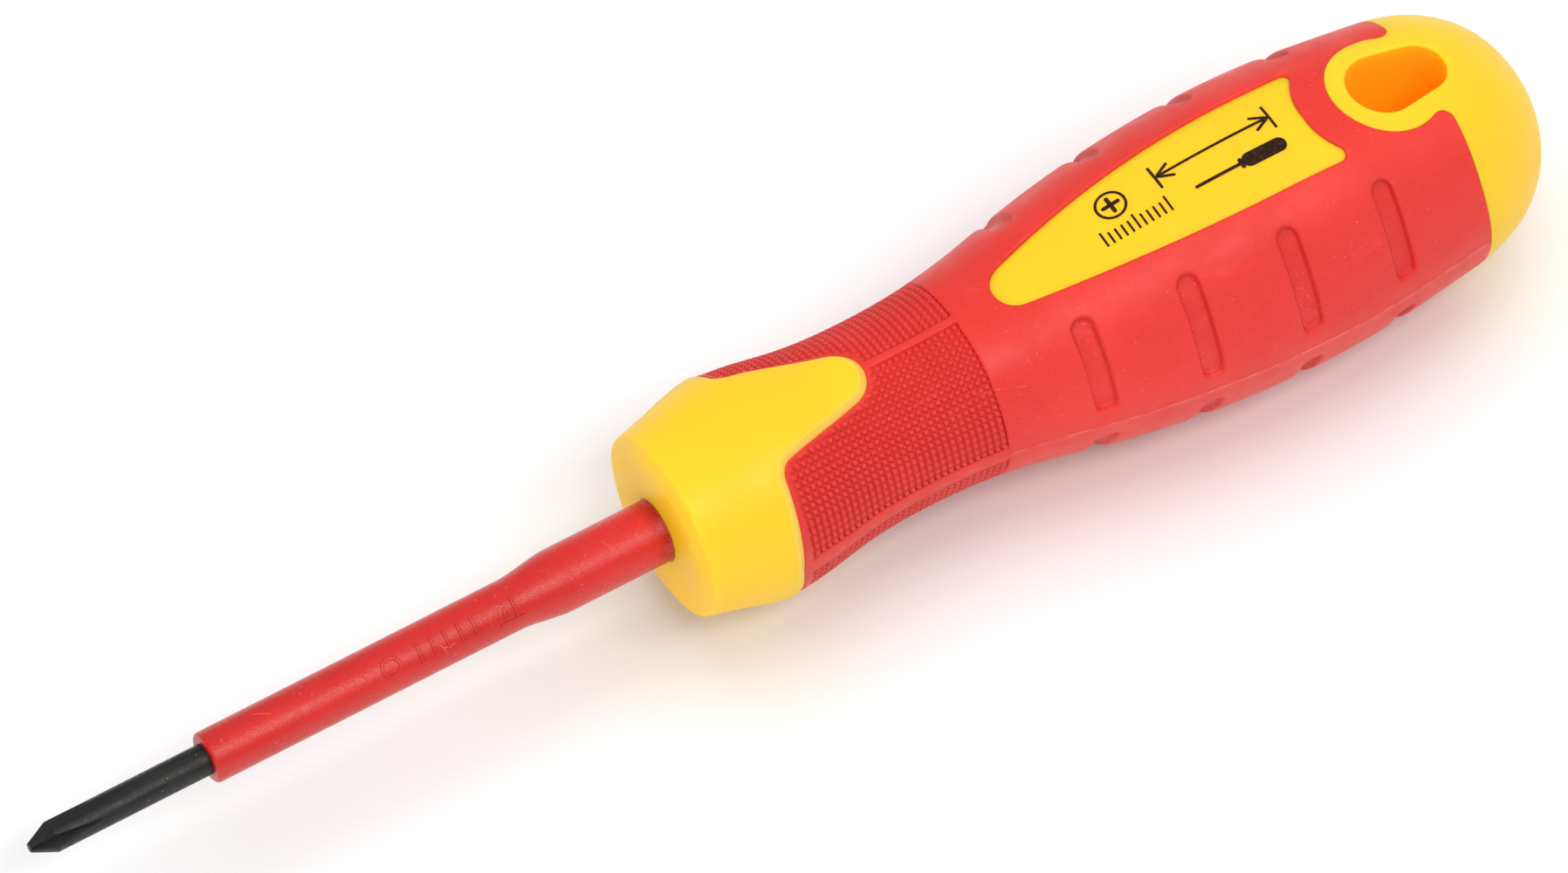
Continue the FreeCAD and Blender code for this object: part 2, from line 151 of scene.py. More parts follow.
# Wall of a slot: distance from its middle line, depth
SLOT_WALL = [(1.26, 0.0), (1.12, 0.02), (1.02, 0.09), (0.94, 0.24), (0.88, 0.42), (0.80, 0.58),
             (0.62, 0.65)]
SLOT_RADIUS = SLOT_WALL[2][0]

# Mould line along the two sides of the grip
FLASH_HEIGHT, FLASH_WIDTH, FLASH_STEP = 0.035, 0.09, 0.3
FLASH_ENDS = (0.5, 0.4)  # room left before the collar and the dome

# Sleeve and blade
BLADE_LENGTH, BARE_BLADE, SHANK_RADIUS = 60.0, 16.7, 1.38
SLEEVE_THIN, SLEEVE_THICK, SLEEVE_EDGE = 2.28, 2.81, 0.35
FLARE_START, FLARE_END = -14.4, -9.4
BEAD = 0.14  # flash round the sleeve where it enters the collar
SLEEVE_STEP = 2.0  # between the rings of the thin part
SLEEVE_RINGS = (-7.0, -4.0, -1.0)  # rings of the thick part
# Section of the flash, in shares of its height: distance before the collar, height
BEAD_PROFILE = [(0.75, 0.5), (0.35, 1.0), (0.0, 0.8)]
BEAD_BASE = 0.45  # share of its height that the waves are added to
BEAD_WAVES = [(0.275, 7.3, 1.0), (0.165, 15.1, 0.0), (0.11, 31.7, 2.0)]  # height, rate, start

# Raised marks on the sleeve
MARK_TURN = math.radians(36)
MARK_HEIGHT, MARK_STROKE = 1.6, 0.15
MARK_TICKS = (-23.6, -22.3, -21.0, -19.7, -18.4, -15.6, -14.6)
MARK_RING, MARK_LINE = -26.3, (-16.2, -14.0)
MARK_LINE_GAP, MARK_LINE_STROKE = 0.35, 0.09
# Edge of a raised mark: distance from its outline, height above the sleeve
MARK_PROFILE = [(0.0, -0.15), (0.0, 0.02), (0.02, 0.065), (0.05, 0.09), (0.08, 0.095)]

# Print on the labels, in (x, width round the pad)
PRINT_STROKE = 0.25
PRINT_CROSS, PRINT_CROSS_RADIUS = (45.0, -1.45), 1.3
PRINT_CROSS_ARM, PRINT_CROSS_STROKE = 0.715, 0.375
PRINT_ARROW = (49.4, 60.6, -1.5)  # start, end, place across
PRINT_TALL = 1.1
PRINT_BARB = ((0.3, 0.1), (1.5, 0.65))
PRINT_TICKS = (42.8, 0.62, 1.15)  # first, gap, place across
PRINT_TICK_COUNT, PRINT_TICK_STROKE = 11, 0.2
PRINT_TICK_LONG, PRINT_TICK_SHORT = 0.7, 0.35  # below the row, every fifth tick is long too
PRINT_DRIVER = (51.8, 60.3, 1.15)  # tip, end, place across
PRINT_HANDLE, PRINT_HANDLE_ROUND = 56.475, 0.45  # start of its handle
PRINT_NECK = 0.3  # before the handle, and half across
PRINT_DRIVER_STROKES = (0.3, 0.4, 1.3)  # blade, neck and handle
PRINT_PROFILE = [(0.0, -0.03), (0.0, 0.008), (0.01, 0.014)]
PRINT_LAYER = 0.004  # strokes that cross lie this much above each other

# Camera, floor and lights, in metres except where said
VIEW_LEAN, VIEW_SIDE, VIEW_SLOPE = np.radians([17.0, 30.8, 26.87]).tolist()
VIEW_DISTANCE = 1.5
VIEW_AIM = (13.43, -2.142)  # mm along the tool and below it in the picture
FRAME_WIDTH = 0.12996  # metres seen across the picture at the tool
SENSOR = 36.0  # mm
FLOOR_SIZE, WORLD_LIGHT = 4.0, 0.52
GLOW = 0.34  # painted glow in the yellow's hollows, standing in for light that seeps through the plastic
# Lights: direction, distance, size along the tool and across it, power, seen in reflections
TOP_LIGHT = ((0.1, 0.12, 1.0), 1.0, (0.8, 0.8), 4.9, False)
SIDE_LIGHT = ((-1.0, -0.25, 0.35), 1.2, (0.6, 0.6), 2.8, False)
FRONT_ASIDE = 0.05  # the front light is beside the camera, this far to the domed end
FRONT_LIGHT = (1.2, (0.9, 0.32), 5.6, True)


def smooth_curve(stations, last_slope=None, per_span=60):
    """Points close together on a smooth curve through the stations."""
    points = np.array(stations, float)
    gaps = np.linalg.norm(np.diff(points, axis=0), axis=1)
    count = len(points)
    system = np.zeros((count, count))
    target = np.zeros_like(points)
    for i in range(1, count - 1):
        before, after = gaps[i - 1], gaps[i]
        system[i, i - 1:i + 2] = after, 2 * (before + after), before
        rise_before = (points[i] - points[i - 1]) / before
        rise_after = (points[i + 1] - points[i]) / after
        target[i] = 3 * (after * rise_before + before * rise_after)
    system[0, :2] = 2, 1
    target[0] = 3 * (points[1] - points[0]) / gaps[0]
    if last_slope is None:
        system[-1, -2:] = 1, 2
        target[-1] = 3 * (points[-1] - points[-2]) / gaps[-1]
    else:
        system[-1, -1] = 1
        target[-1] = last_slope
    slopes = np.linalg.solve(system, target)
    t = (np.arange(per_span) / per_span)[:, None]
    curve = []
    for i in range(count - 1):
        a, b = points[i], points[i + 1]
        out, back = slopes[i] * gaps[i], slopes[i + 1] * gaps[i]
        curve.append((2 * t**3 - 3 * t**2 + 1) * a + (t**3 - 2 * t**2 + t) * out
                     + (3 * t**2 - 2 * t**3) * b + (t**3 - t**2) * back)
    return np.vstack(curve + [points[-1:]])


BODY_CURVE = smooth_curve(BODY_STATIONS, (0.0, -1.0, 0.0))
COLLAR_CURVE = smooth_curve(COLLAR_STATIONS)


def skin(curve, x, turn):
    """Radius of a handle surface at x and turn."""
    radius = np.interp(x, curve[:, 0], curve[:, 1])
    bulge = np.interp(x, curve[:, 0], curve[:, 2])
    return radius + bulge * (1 - np.cos(FACETS * turn))


def body_skin(x, turn):
    return skin(BODY_CURVE, x, turn)


def collar_skin(x, turn):
    return skin(COLLAR_CURVE, x, turn)


def ease(low, high, value):
    """0 below low, 1 above high, and smooth between."""
    t = np.clip((value - low) / (high - low), 0, 1)
    return t * t * (3 - 2 * t)


def core_skin(x, turn):
    """Surface between the hard and the soft plastic."""
    thickening = (GRIP_WALL_BULGE - GRIP_WALL_WAIST) * ease(PATTERN_END, GRIP_WALL_EVEN, x)
    return body_skin(x, turn) - (GRIP_WALL_WAIST + thickening)


def place(x, turn, radius):
    """Points in space, in mm about the tool's axis."""
    x, turn, radius = np.broadcast_arrays(x, turn, radius)
    return np.stack([x, -radius * np.sin(turn), radius * np.cos(turn)], -1)


# ---- outlines on the quarter from the label's middle to the side ----

def arc(cx, cy, radius, start, end, count):
    """Points on an arc, from one angle in degrees to another."""
    angle = np.radians(np.linspace(start, end, count))
    return np.stack([cx + radius * np.cos(angle), cy + radius * np.sin(angle)], 1)


def arc_through(a, b, c, count):
    """Arc from a through b to c."""
    (ax, ay), (bx, by), (cx, cy) = a, b, c
    d = 2 * (ax * (by - cy) + bx * (cy - ay) + cx * (ay - by))
    aa, bb, cc = ax**2 + ay**2, bx**2 + by**2, cx**2 + cy**2
    ux = (aa * (by - cy) + bb * (cy - ay) + cc * (ay - by)) / d
    uy = (aa * (cx - bx) + bb * (ax - cx) + cc * (bx - ax)) / d
    radius = math.hypot(ax - ux, ay - uy)
    turns = np.unwrap([math.atan2(y - uy, x - ux) for x, y in (a, b, c)])
    angle = np.linspace(turns[0], turns[2], count)
    return np.stack([ux + radius * np.cos(angle), uy + radius * np.sin(angle)], 1)


def line(a, b, count):
    return np.linspace(a, b, count)


def joined(*runs):
    """One polyline, without the doubled points where runs meet."""
    points = np.vstack(runs)
    points[np.abs(points) < TINY] = 0.0
    keep = np.r_[True, np.linalg.norm(np.diff(points, axis=0), axis=1) > SAME_POINT]
    return points[keep]


def to_turns(plan):
    """Plan outline (x, y) as (x, turn) on the body's skin."""
    x, y = plan[:, 0], plan[:, 1]
    turn = np.arcsin(y / body_skin(x, 0.0))
    for _ in range(20):
        turn = np.arcsin(np.clip(y / body_skin(x, turn), -1, 1))
    return np.stack([x, turn], 1)


def tongue_outline():
    nose_x = TONGUE_TIP - TONGUE_NOSE
    foot_x = COLLAR_EDGE[0] + TONGUE_FILLET
    gap = TONGUE_NOSE + TONGUE_FILLET + (nose_x - foot_x) * math.cos(TONGUE_LEAN)
    foot_y = gap / math.sin(TONGUE_LEAN)
    lean = math.degrees(TONGUE_LEAN)
    nose = arc(nose_x, 0, TONGUE_NOSE, 0, lean, 16)
    foot = arc(foot_x, foot_y, TONGUE_FILLET, lean - 180, -180, 16)
    side = line(nose[-1], foot[0], 28)
    front = to_turns(joined(nose, side, foot))
    rest = line(front[-1], (COLLAR_EDGE[1], QUARTER), 24)
    return joined(front, rest)


def label_outline():
    nose = arc(LABEL_FRONT + LABEL_NOSE, 0, LABEL_NOSE, 180, LABEL_NOSE_END, 16)
    long_side = arc_through(nose[-1], LABEL_MIDDLE, (LABEL_WIDEST, LABEL_HALF_WIDTH), 50)
    rear = LABEL_REAR - LABEL_CORNER
    corner = arc(rear, LABEL_HALF_WIDTH - LABEL_CORNER, LABEL_CORNER, 90, LABEL_CORNER_END, 10)
    straight = line(long_side[-1], corner[0], 16)
    hollow = (LABEL_REAR - LABEL_HOLLOW_SIDE * LABEL_HOLLOW, LABEL_HALF_WIDTH / 2)
    rear_edge = arc_through(corner[-1], hollow, (LABEL_REAR - LABEL_HOLLOW, 0), 16)
    return to_turns(joined(nose, long_side, straight, corner, rear_edge))


def ring_outline():
    tip_x = GRIP_END - FINGER_TIP
    tip_y = math.sqrt((RING_RADIUS + FINGER_TIP) ** 2 - (tip_x - RING_CENTRE) ** 2)
    lean = math.degrees(math.atan2(tip_y, tip_x - RING_CENTRE))
    ring = arc(RING_CENTRE, 0, RING_RADIUS, 180, lean, 30)
    tip = arc(tip_x, tip_y, FINGER_TIP, lean - 180, 0, 9)
    front = to_turns(joined(ring, tip))
    return joined(front, line(front[-1], (GRIP_END, QUARTER), 40))


def hole_outline():
    (fx, fr), (rx, rr) = HOLE_FRONT, HOLE_REAR
    lean = math.degrees(math.acos((rr - fr) / (rx - fx)))
    front = arc(fx, 0, fr, 180, 180 - lean, 14)
    rear = arc(rx, 0, rr, 180 - lean, 0, 18)
    return joined(front, line(front[-1], rear[0], 8), rear)


def shifted(outline, distance):
    """Outline moved to its left, on the body's skin, by a distance in mm."""
    x, turn = outline.T
    radius = body_skin(x, turn)
    across = np.gradient(turn) * radius
    along = np.gradient(x)
    along[[0, -1]] = 0.0
    length = np.hypot(along, across)
    return np.stack([x - across / length * distance, turn + along / length * distance / radius], 1)


def rounding(radius, steps=5):
    """(distance, drop) pairs of a rounded edge, from the edge itself to the flat beside it."""
    angles = np.linspace(math.pi / 2, 0, steps)
    return [(radius * (1 - math.sin(a)), radius * (1 - math.cos(a))) for a in angles]


def inside(polygon, points):
    """Which points lie inside a closed polygon."""
    px, py = points[:, 0], points[:, 1]
    result = np.zeros(len(points), bool)
    for (ax, ay), (bx, by) in zip(polygon, np.roll(polygon, -1, axis=0)):
        crosses = (ay > py) != (by > py)
        if ay != by:
            result ^= crosses & (px < ax + (py - ay) / (by - ay) * (bx - ax))
    return result


def flat(x, turn):
    """Points on the unrolled surface, in mm."""
    x, turn = np.broadcast_arrays(x, turn)
    return np.stack([x, turn * UNROLL], -1)


def distances(points, others):
    """Distance from each point to the nearest of the others."""
    result = np.empty(len(points))
    for start in range(0, len(points), CHUNK):
        part = slice(start, start + CHUNK)
        gaps = points[part, None, :] - others[None, :, :]
        result[part] = np.sqrt((gaps**2).sum(-1).min(1))
    return result


class Patch:
    """Points of one surface on the unrolled quarter, with their places in space."""

    def __init__(self):
        self.flats, self.places, self.tone, self.edges, self.count = [], [], [], [], 0

    def add(self, flats, places, tone=0.0):
        start = self.count
        self.flats.append(flats)
        self.places.append(places)
        self.tone.append(np.full(len(flats), tone))
        self.count += len(flats)
        return np.arange(start, self.count)

    def spots(self, x, turn, radius, tone=0.0):
        """Points at some distance from the tool's axis."""
        return self.add(flat(x, turn), place(x, turn, radius), tone)

    def line(self, x, turn, radius, tone=0.0):
        """Points joined by edges that the triangles keep to."""
        self.join(self.spots(x, turn, radius, tone))

    def join(self, ids, closed=False):
        """Edges between points that follow each other."""
        ends = np.roll(ids, -1) if closed else ids[1:]
        self.edges += list(zip(ids.tolist(), ends.tolist()))

    def scatter(self, box, mesh, wanted, surface):
        """Staggered points over a box, kept off the points that are already there."""
        x_low, x_high, turn_low, turn_high = box
        spacing, clear = mesh
        rows = max(2, round((turn_high - turn_low) * UNROLL / spacing) + 1)
        columns = max(2, round((x_high - x_low) / spacing) + 1)
        step = (x_high - x_low) / (columns - 1)
        across, along = np.linspace(turn_low, turn_high, rows), np.linspace(x_low, x_high, columns)
        turn, x = np.meshgrid(across, along, indexing="ij")
        inner = np.arange(rows)[:, None] % 2 == 1
        x = np.where(inner, x + step / 2, x)
        x, turn = x.ravel(), turn.ravel()
        points = flat(x, turn)
        keep = wanted(points) & (x <= x_high)
        keep[keep] = distances(points[keep], np.vstack(self.flats)) > clear
        x, turn = x[keep], turn[keep]
        self.spots(x, turn, surface(x, turn))

    def rim(self, start, end, spacing, surface):
        """Points along the quarter's side, spaced by the gaps at the two ends and a step."""
        front_gap, rear_gap, step = spacing
        xs = np.arange(start + front_gap, end - rear_gap, step)
        self.spots(xs, QUARTER, surface(xs, QUARTER))

    def triangles(self, wanted):
        """Places, faces and tones of the surface, where it is wanted."""
        flats, places = np.vstack(self.flats), np.vstack(self.places)
        result = delaunay_2d_cdt([Vector(p) for p in flats], self.edges, [], 0, CDT_TOLERANCE)
        faces = np.array([ids[0] for ids in result[3]])[np.array(result[2])]
        middle = flats[faces].mean(1)
        a, b, c = (flats[faces[:, k]] for k in range(3))
        ab, ac = b - a, c - a
        area = ab[:, 0] * ac[:, 1] - ab[:, 1] * ac[:, 0]
        faces = np.where(area[:, None] > 0, faces, faces[:, ::-1])
        faces = faces[wanted(middle) & (np.abs(area) > TINY)]
        return places, faces, np.concatenate(self.tone)


class Shape:
    """Faces of a quarter of a piece, which is mirrored to both sides and both labels."""

    def __init__(self):
        self.places, self.tone, self.faces, self.count = [], [], [], 0

    def add(self, places, faces, tone=None, flip=False):
        places = np.asarray(places, float).reshape(-1, 3)
        self.tone.append(np.zeros(len(places)) if tone is None else tone)
        faces = np.asarray(faces, int) + self.count
        self.places.append(places)
        self.faces += [tuple(f[::-1]) if flip else tuple(f) for f in faces.tolist()]
        self.count += len(places)

    def strip(self, rows, flip=False):
        """Quads between rows of points."""
        rows = np.asarray(rows, float)
        height, width = rows.shape[:2]
        ids = np.arange(height * width).reshape(height, width)
        self.add(rows.reshape(-1, 3), grid_quads(ids).reshape(-1, 4), None, flip)

    def build(self, name, node, slot, material, sharp):
        """The whole piece as a Blender object, with its CAD node hidden."""
        quarter = np.vstack(self.places)
        places, faces = [], []
        for number, (side_y, side_z) in enumerate(((1, 1), (-1, 1), (-1, -1), (1, -1))):
            places.append(quarter * (1, side_y, side_z))
            start = number * len(quarter)
            turned = number % 2 == 1
            faces += [tuple(start + i for i in (f[::-1] if turned else f)) for f in self.faces]
        tone = np.tile(np.concatenate(self.tone), 4)
        make_piece(name, material, np.vstack(places), faces, sharp, tone, node)


def grid_quads(ids):
    """Quads of a grid of point numbers."""
    return np.stack([ids[:-1, :-1], ids[1:, :-1], ids[1:, 1:], ids[:-1, 1:]], -1)


def make_piece(name, material, places, faces, sharp, tone=None, node=None):
    """Blender object from places in mm about the tool's axis. May hide a CAD node."""
    mesh = bpy.data.meshes.new(name)
    mesh.from_pydata((places * MM + (COLLAR_X, 0, AXIS_Z)).tolist(), [], faces)
    if tone is not None:
        values = mesh.attributes.new("tone", "FLOAT", "POINT")
        values.data.foreach_set("value", tone.astype(np.float32))
    weld(mesh)
    mesh.materials.append(material)
    mesh.shade_smooth()
    mesh.set_sharp_from_angle(angle=math.radians(sharp))
    piece = bpy.data.objects.new(name, mesh)
    bpy.context.collection.objects.link(piece)
    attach(piece, "root")
    if node:
        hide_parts(node)


def weld(mesh):
    """Join points that meet, and drop slivers and loose edges."""
    work = bmesh.new()
    work.from_mesh(mesh)
    bmesh.ops.remove_doubles(work, verts=work.verts, dist=WELD)
    bmesh.ops.dissolve_degenerate(work, edges=work.edges, dist=WELD)
    loose = [e for e in work.edges if not e.link_faces]
    bmesh.ops.delete(work, geom=loose, context="EDGES")
    bmesh.ops.recalc_face_normals(work, faces=work.faces)
    work.to_mesh(mesh)
    work.free()


TONGUE = tongue_outline()
LABEL = label_outline()
RING = ring_outline()
HOLE_PLAN = hole_outline()
SIDE_STEPS = np.linspace(0, QUARTER, 31)


def closed_region(*runs):
    """Polygon on the unrolled surface from outlines that follow each other."""
    return np.vstack([flat(run[:, 0], run[:, 1]) for run in runs])


def corners(*points):
    return np.array([(x, turn) for x, turn in points], float)


RED_REGION = closed_region(TONGUE, RING[::-1])
LABEL_REGION = closed_region(LABEL)
COLLAR_REGION = closed_region(TONGUE, corners((0, QUARTER), (0, 0)))
DOME_REGION = closed_region(RING, corners((DOME_START, QUARTER), (DOME_START, 0)))


def in_red(points):
    """Which points of the unrolled surface belong to the grip."""
    return inside(RED_REGION, points) & ~inside(LABEL_REGION, points)


def add_lip(patch, outline, surface, edge, side):
    """Rounded edge of a surface along an outline. Side is 1 to its left and -1 to its right."""
    for distance, drop in edge:
        x, turn = shifted(outline, side * distance).T
        patch.line(x, turn, surface(x, turn) - drop)


def skirt(shape, outline, top, bottom, flip):
    """Wall that joins two surfaces along an outline."""
    x, turn = outline.T
    shape.strip([place(x, turn, top(x, turn)), place(x, turn, bottom(x, turn))], flip)


# ---- the soft grip ----

def pattern_lines():
    """Lines of the fine pattern, with their heights, along and round the waist."""
    start = PATTERN_END - PATTERN_COLUMNS * PATTERN_PITCH
    xs = [(start + (i + f) * PATTERN_PITCH, h) for i in range(PATTERN_COLUMNS) for f, h in STEPS]
    xs.append((PATTERN_END, 0.0))
    low = ROW_TOP - ROW_COUNT * ROW_PITCH
    turns = [(low + (i + f) * ROW_PITCH, h, 0) for i in range(ROW_COUNT) for f, h in STEPS]
    turns += [(ROW_TOP + (i + f) * RIB_PITCH, h, 1) for i in range(RIB_BLOCKS) for f, h in STEPS]
    turns.append((ROW_TOP + RIB_BLOCKS * RIB_PITCH, 0.0, 1))
    return np.array(xs), np.array(turns)


def add_pattern(patch, shape):
    """Cubes and ribs of the waist. Returns a test for points that lie on them."""
    xs, turns = pattern_lines()
    x, turn = np.meshgrid(xs[:, 0], turns[:, 0], indexing="ij")
    rib = turns[:, 2]
    notch = np.where(rib > 0, RIB_NOTCH + (1 - RIB_NOTCH) * turns[:, 1], turns[:, 1])
    notch[0] = STRIPE_NOTCH
    notch[rib.argmax()] = 0.0
    notch[-1] = 0.0
    height = xs[:, 1][:, None] * notch[None, :]
    spots = flat(x, turn).reshape(-1, 2)
    away = distances(spots, closed_region(TONGUE)).reshape(x.shape)
    good = ~inside(COLLAR_REGION, spots).reshape(x.shape) & (away > PATTERN_MARGIN)
    fade = ease(PATTERN_MARGIN, PATTERN_FADE * PATTERN_MARGIN, away)
    share = PATTERN_SHALLOW + (1 - PATTERN_SHALLOW) * fade
    drop = PATTERN_DEPTH * (1 - height) * share + PATTERN_SUNK
    places = place(x, turn, body_skin(x, turn) - drop)
    # The tone paints shade into the grooves, deepest at their bottoms and faint beside the tongue.
    tone = (PATTERN_SHADE * (1 - height) * fade).ravel()
    cells = good[:-1, :-1] & good[1:, :-1] & good[:-1, 1:] & good[1:, 1:]
    ids = np.arange(x.size).reshape(x.shape)
    quads = grid_quads(ids)[cells]
    used, where = np.unique(quads, return_inverse=True)
    shape.add(places.reshape(-1, 3)[used], where.reshape(quads.shape), tone[used])
    pairs = np.concatenate([np.sort(quads[:, [k, (k + 1) % 4]], axis=1) for k in range(4)])
    border, seen = np.unique(pairs, axis=0, return_counts=True)
    border = border[seen == 1]
    border_ids, border_where = np.unique(border, return_inverse=True)
    border_where = border_where.reshape(border.shape)
    new = patch.add(spots[border_ids], places.reshape(-1, 3)[border_ids], tone[border_ids])
    patch.edges += [tuple(pair) for pair in new[border_where].tolist()]

    rows = np.concatenate([turns[:, 0], [0.0], np.linspace(turns[-1, 0], QUARTER, 6)[1:]])
    for gap, depth in PATTERN_BORDER:
        x = PATTERN_END + gap
        patch.spots(x, rows, body_skin(x, rows) - depth)
        for turn, sign, start in ((turns[0, 0], -1, STRIPE_START), (turns[-1, 0], 1, SIDE_START)):
            line_x = xs[xs[:, 0] > start, 0]
            side = turn + sign * gap / UNROLL
            patch.spots(line_x, side, body_skin(line_x, side) - depth)

    def on_pattern(points):
        column = np.searchsorted(xs[:, 0], points[:, 0]) - 1
        row = np.searchsorted(turns[:, 0] * UNROLL, points[:, 1]) - 1
        within = (column >= 0) & (column < cells.shape[0]) & (row >= 0) & (row < cells.shape[1])
        result = np.zeros(len(points), bool)
        result[within] = cells[column[within], row[within]]
        return result

    return on_pattern


def stadium(x, half_length, distance):
    """Closed loop round a slot's middle line, on the unrolled surface."""
    ends = np.radians(np.linspace(0, 180, 13))
    side = np.linspace(-half_length, half_length, 12)[1:-1]
    square_x = np.sign(np.cos(ends)) * np.abs(np.cos(ends)) ** SLOT_SQUARE
    square_y = np.abs(np.sin(ends)) ** SLOT_SQUARE
    top = np.stack([x + distance * square_x, half_length + distance * square_y], 1)
    left = np.stack([np.full(len(side), x - distance), side[::-1]], 1)
    bottom = np.stack([x - distance * np.cos(ends), -half_length - distance * np.sin(ends)], 1)
    right = np.stack([np.full(len(side), x + distance), side], 1)
    return np.vstack([top, left, bottom, right])


def in_slots(points):
    """Which points of the unrolled surface lie in a slot."""
    result = np.zeros(len(points), bool)
    for number, (middle, half) in enumerate(zip(SLOT_MIDDLES, SLOT_HALVES)):
        half_length = half * UNROLL - SLOT_RADIUS
        aside = points[:, 0] - SLOT_FIRST - number * SLOT_PITCH
        beyond = np.maximum(np.abs(points[:, 1] - middle * UNROLL) - half_length, 0)
        result |= np.hypot(aside, beyond) < SLOT_WALL[0][0] + SLOT_CLEAR
    return result


def add_slots(patch):
    """Walls and floors of the four cross slots. Their tone is the share of the depth, and sets the painted
    shade on their walls.
    """
    deepest = SLOT_WALL[-1][1]
    for number, (middle, half) in enumerate(zip(SLOT_MIDDLES, SLOT_HALVES)):
        x = SLOT_FIRST + number * SLOT_PITCH
        half_length = half * UNROLL - SLOT_RADIUS
        for distance, depth in SLOT_WALL:
            run = stadium(x, half_length, distance) + (0, middle * UNROLL)
            turn = run[:, 1] / UNROLL
            places = place(run[:, 0], turn, body_skin(run[:, 0], turn) - depth)
            patch.join(patch.add(run, places, depth / deepest), closed=True)
        floor = np.linspace(-half_length, half_length, 12) + middle * UNROLL
        turn = floor / UNROLL
        run = np.stack([np.full(len(floor), x), floor], 1)
        patch.add(run, place(x, turn, body_skin(x, turn) - deepest), 1.0)


def add_flash(patch):
    """Fine raised mould line along the side of the grip, with a tone of -1."""
    x = np.arange(COLLAR_REAR + FLASH_ENDS[0], GRIP_END - FLASH_ENDS[1], FLASH_STEP)
    for distance, height, tone in ((0.0, FLASH_HEIGHT, -1.0), (FLASH_WIDTH, 0.0, 0.0)):
        turn = QUARTER - distance / UNROLL
        patch.spots(x, turn, body_skin(x, turn) + height, tone)


def make_grip(material):
    patch = Patch()
    shape = Shape()
    seam = rounding(SEAM_LIP)
    add_lip(patch, TONGUE, body_skin, seam + [BESIDE_TONGUE], -1)
    add_lip(patch, RING, body_skin, seam + [BESIDE_RING], 1)
    add_lip(patch, LABEL, body_skin, rounding(LABEL_LIP, 6) + [BESIDE_LABEL], 1)
    on_pattern = add_pattern(patch, shape)
    add_slots(patch)
    add_flash(patch)
    wanted = lambda points: in_red(points) & ~on_pattern(points)
    open_skin = lambda points: wanted(points) & ~in_slots(points)
    waist = (COLLAR_REAR + GRIP_END_GAP, PATTERN_END + WAIST_OVERLAP, 0, QUARTER)
    bulge = (PATTERN_END + BULGE_GAP, GRIP_END - GRIP_END_GAP, 0, QUARTER)
    patch.scatter(waist, MESH_WAIST, open_skin, body_skin)
    patch.scatter(bulge, MESH_BULGE, open_skin, body_skin)
    shape.add(*patch.triangles(wanted))
    drop = lambda amount: (lambda x, turn: body_skin(x, turn) - amount)
    skirt(shape, TONGUE, drop(SEAM_LIP), core_skin, True)
    skirt(shape, RING, drop(SEAM_LIP), core_skin, False)
    skirt(shape, LABEL, drop(LABEL_LIP), core_skin, False)
    shape.add(*core_patch(), flip=True)
    shape.build("soft_grip", "grip", "grip_rubber", material, SHARP_GRIP)


def core_patch():
    """Surface between the hard and the soft plastic under the grip."""
    patch = Patch()
    for outline in (TONGUE, RING, LABEL):
        x, turn = outline.T
        patch.line(x, turn, core_skin(x, turn))
    patch.rim(COLLAR_REAR, GRIP_END, RIM_CORE, core_skin)
    patch.scatter((COLLAR_REAR, GRIP_END, 0, QUARTER - CORE_SIDE_GAP), MESH_CORE, in_red, core_skin)
    return patch.triangles(in_red)


# ---- the hard handle body ----

def make_body(material):
    shape = Shape()
    add_collar(shape)
    add_pads(shape)
    add_dome(shape)
    shape.add(*core_patch())
    shape.build("hard_body", "handle_body", "body_plastic", material, SHARP_BODY)


def add_collar(shape):
    """Cone with its tongue, its slanted edge, the flat front face and the bore."""
    patch = Patch()
    foot = lambda x, turn: body_skin(x, turn) - SEAM_LIP
    for distance, share, depth, tone in WALL:
        x, turn = shifted(TONGUE, distance).T
        radius = share * foot(x, turn) + (1 - share) * collar_skin(x, turn) - depth
        patch.line(x, turn, radius, tone)
    start = COLLAR_BEVEL[0][0]
    patch.line(start, SIDE_STEPS, collar_skin(start, SIDE_STEPS))
    wanted = lambda points: inside(COLLAR_REGION, points) & (points[:, 0] > start)
    patch.rim(start, COLLAR_REAR, RIM_COLLAR, collar_skin)
    patch.scatter((start, TONGUE_TIP, 0, QUARTER - SIDE_GAP), MESH_COLLAR, wanted, collar_skin)
    shape.add(*patch.triangles(wanted))
    rings = [place(x, SIDE_STEPS, collar_skin(x, SIDE_STEPS) - drop) for x, drop in COLLAR_BEVEL]
    outer = collar_skin(0.0, SIDE_STEPS) - COLLAR_BEVEL[-1][1]
    for share in FACE_RINGS:
        rings.append(place(0.0, SIDE_STEPS, outer + (BORE_RADIUS - outer) * share))
    core_low, core_high = CORE_RADII
    cavity = [(0.0, BORE_RADIUS), (BORE_DEPTH, BORE_RADIUS), (BORE_DEPTH, core_low - CORE_EDGE),
              (BORE_DEPTH + CORE_EDGE, core_low), (CORE_END - CORE_EDGE, core_high),
              (CORE_END, core_high - CORE_EDGE), (CORE_END, 0.0)]
    rings += [place(x, SIDE_STEPS, radius) for x, radius in cavity]
    shape.strip(rings)
    skirt(shape, TONGUE, foot, core_skin, False)


def add_pads(shape):
    """Recessed pads that carry the label, one on each side."""
    patch = Patch()
    pad = lambda x, turn: body_skin(x, turn) - PAD_RECESS
    x, turn = LABEL.T
    patch.line(x, turn, pad(x, turn))
    wanted = lambda points: inside(LABEL_REGION, points)
    patch.scatter((LABEL_FRONT, LABEL_REAR, 0, PAD_TURN), MESH_PAD, wanted, pad)
    shape.add(*patch.triangles(wanted))
    skirt(shape, LABEL, pad, core_skin, True)


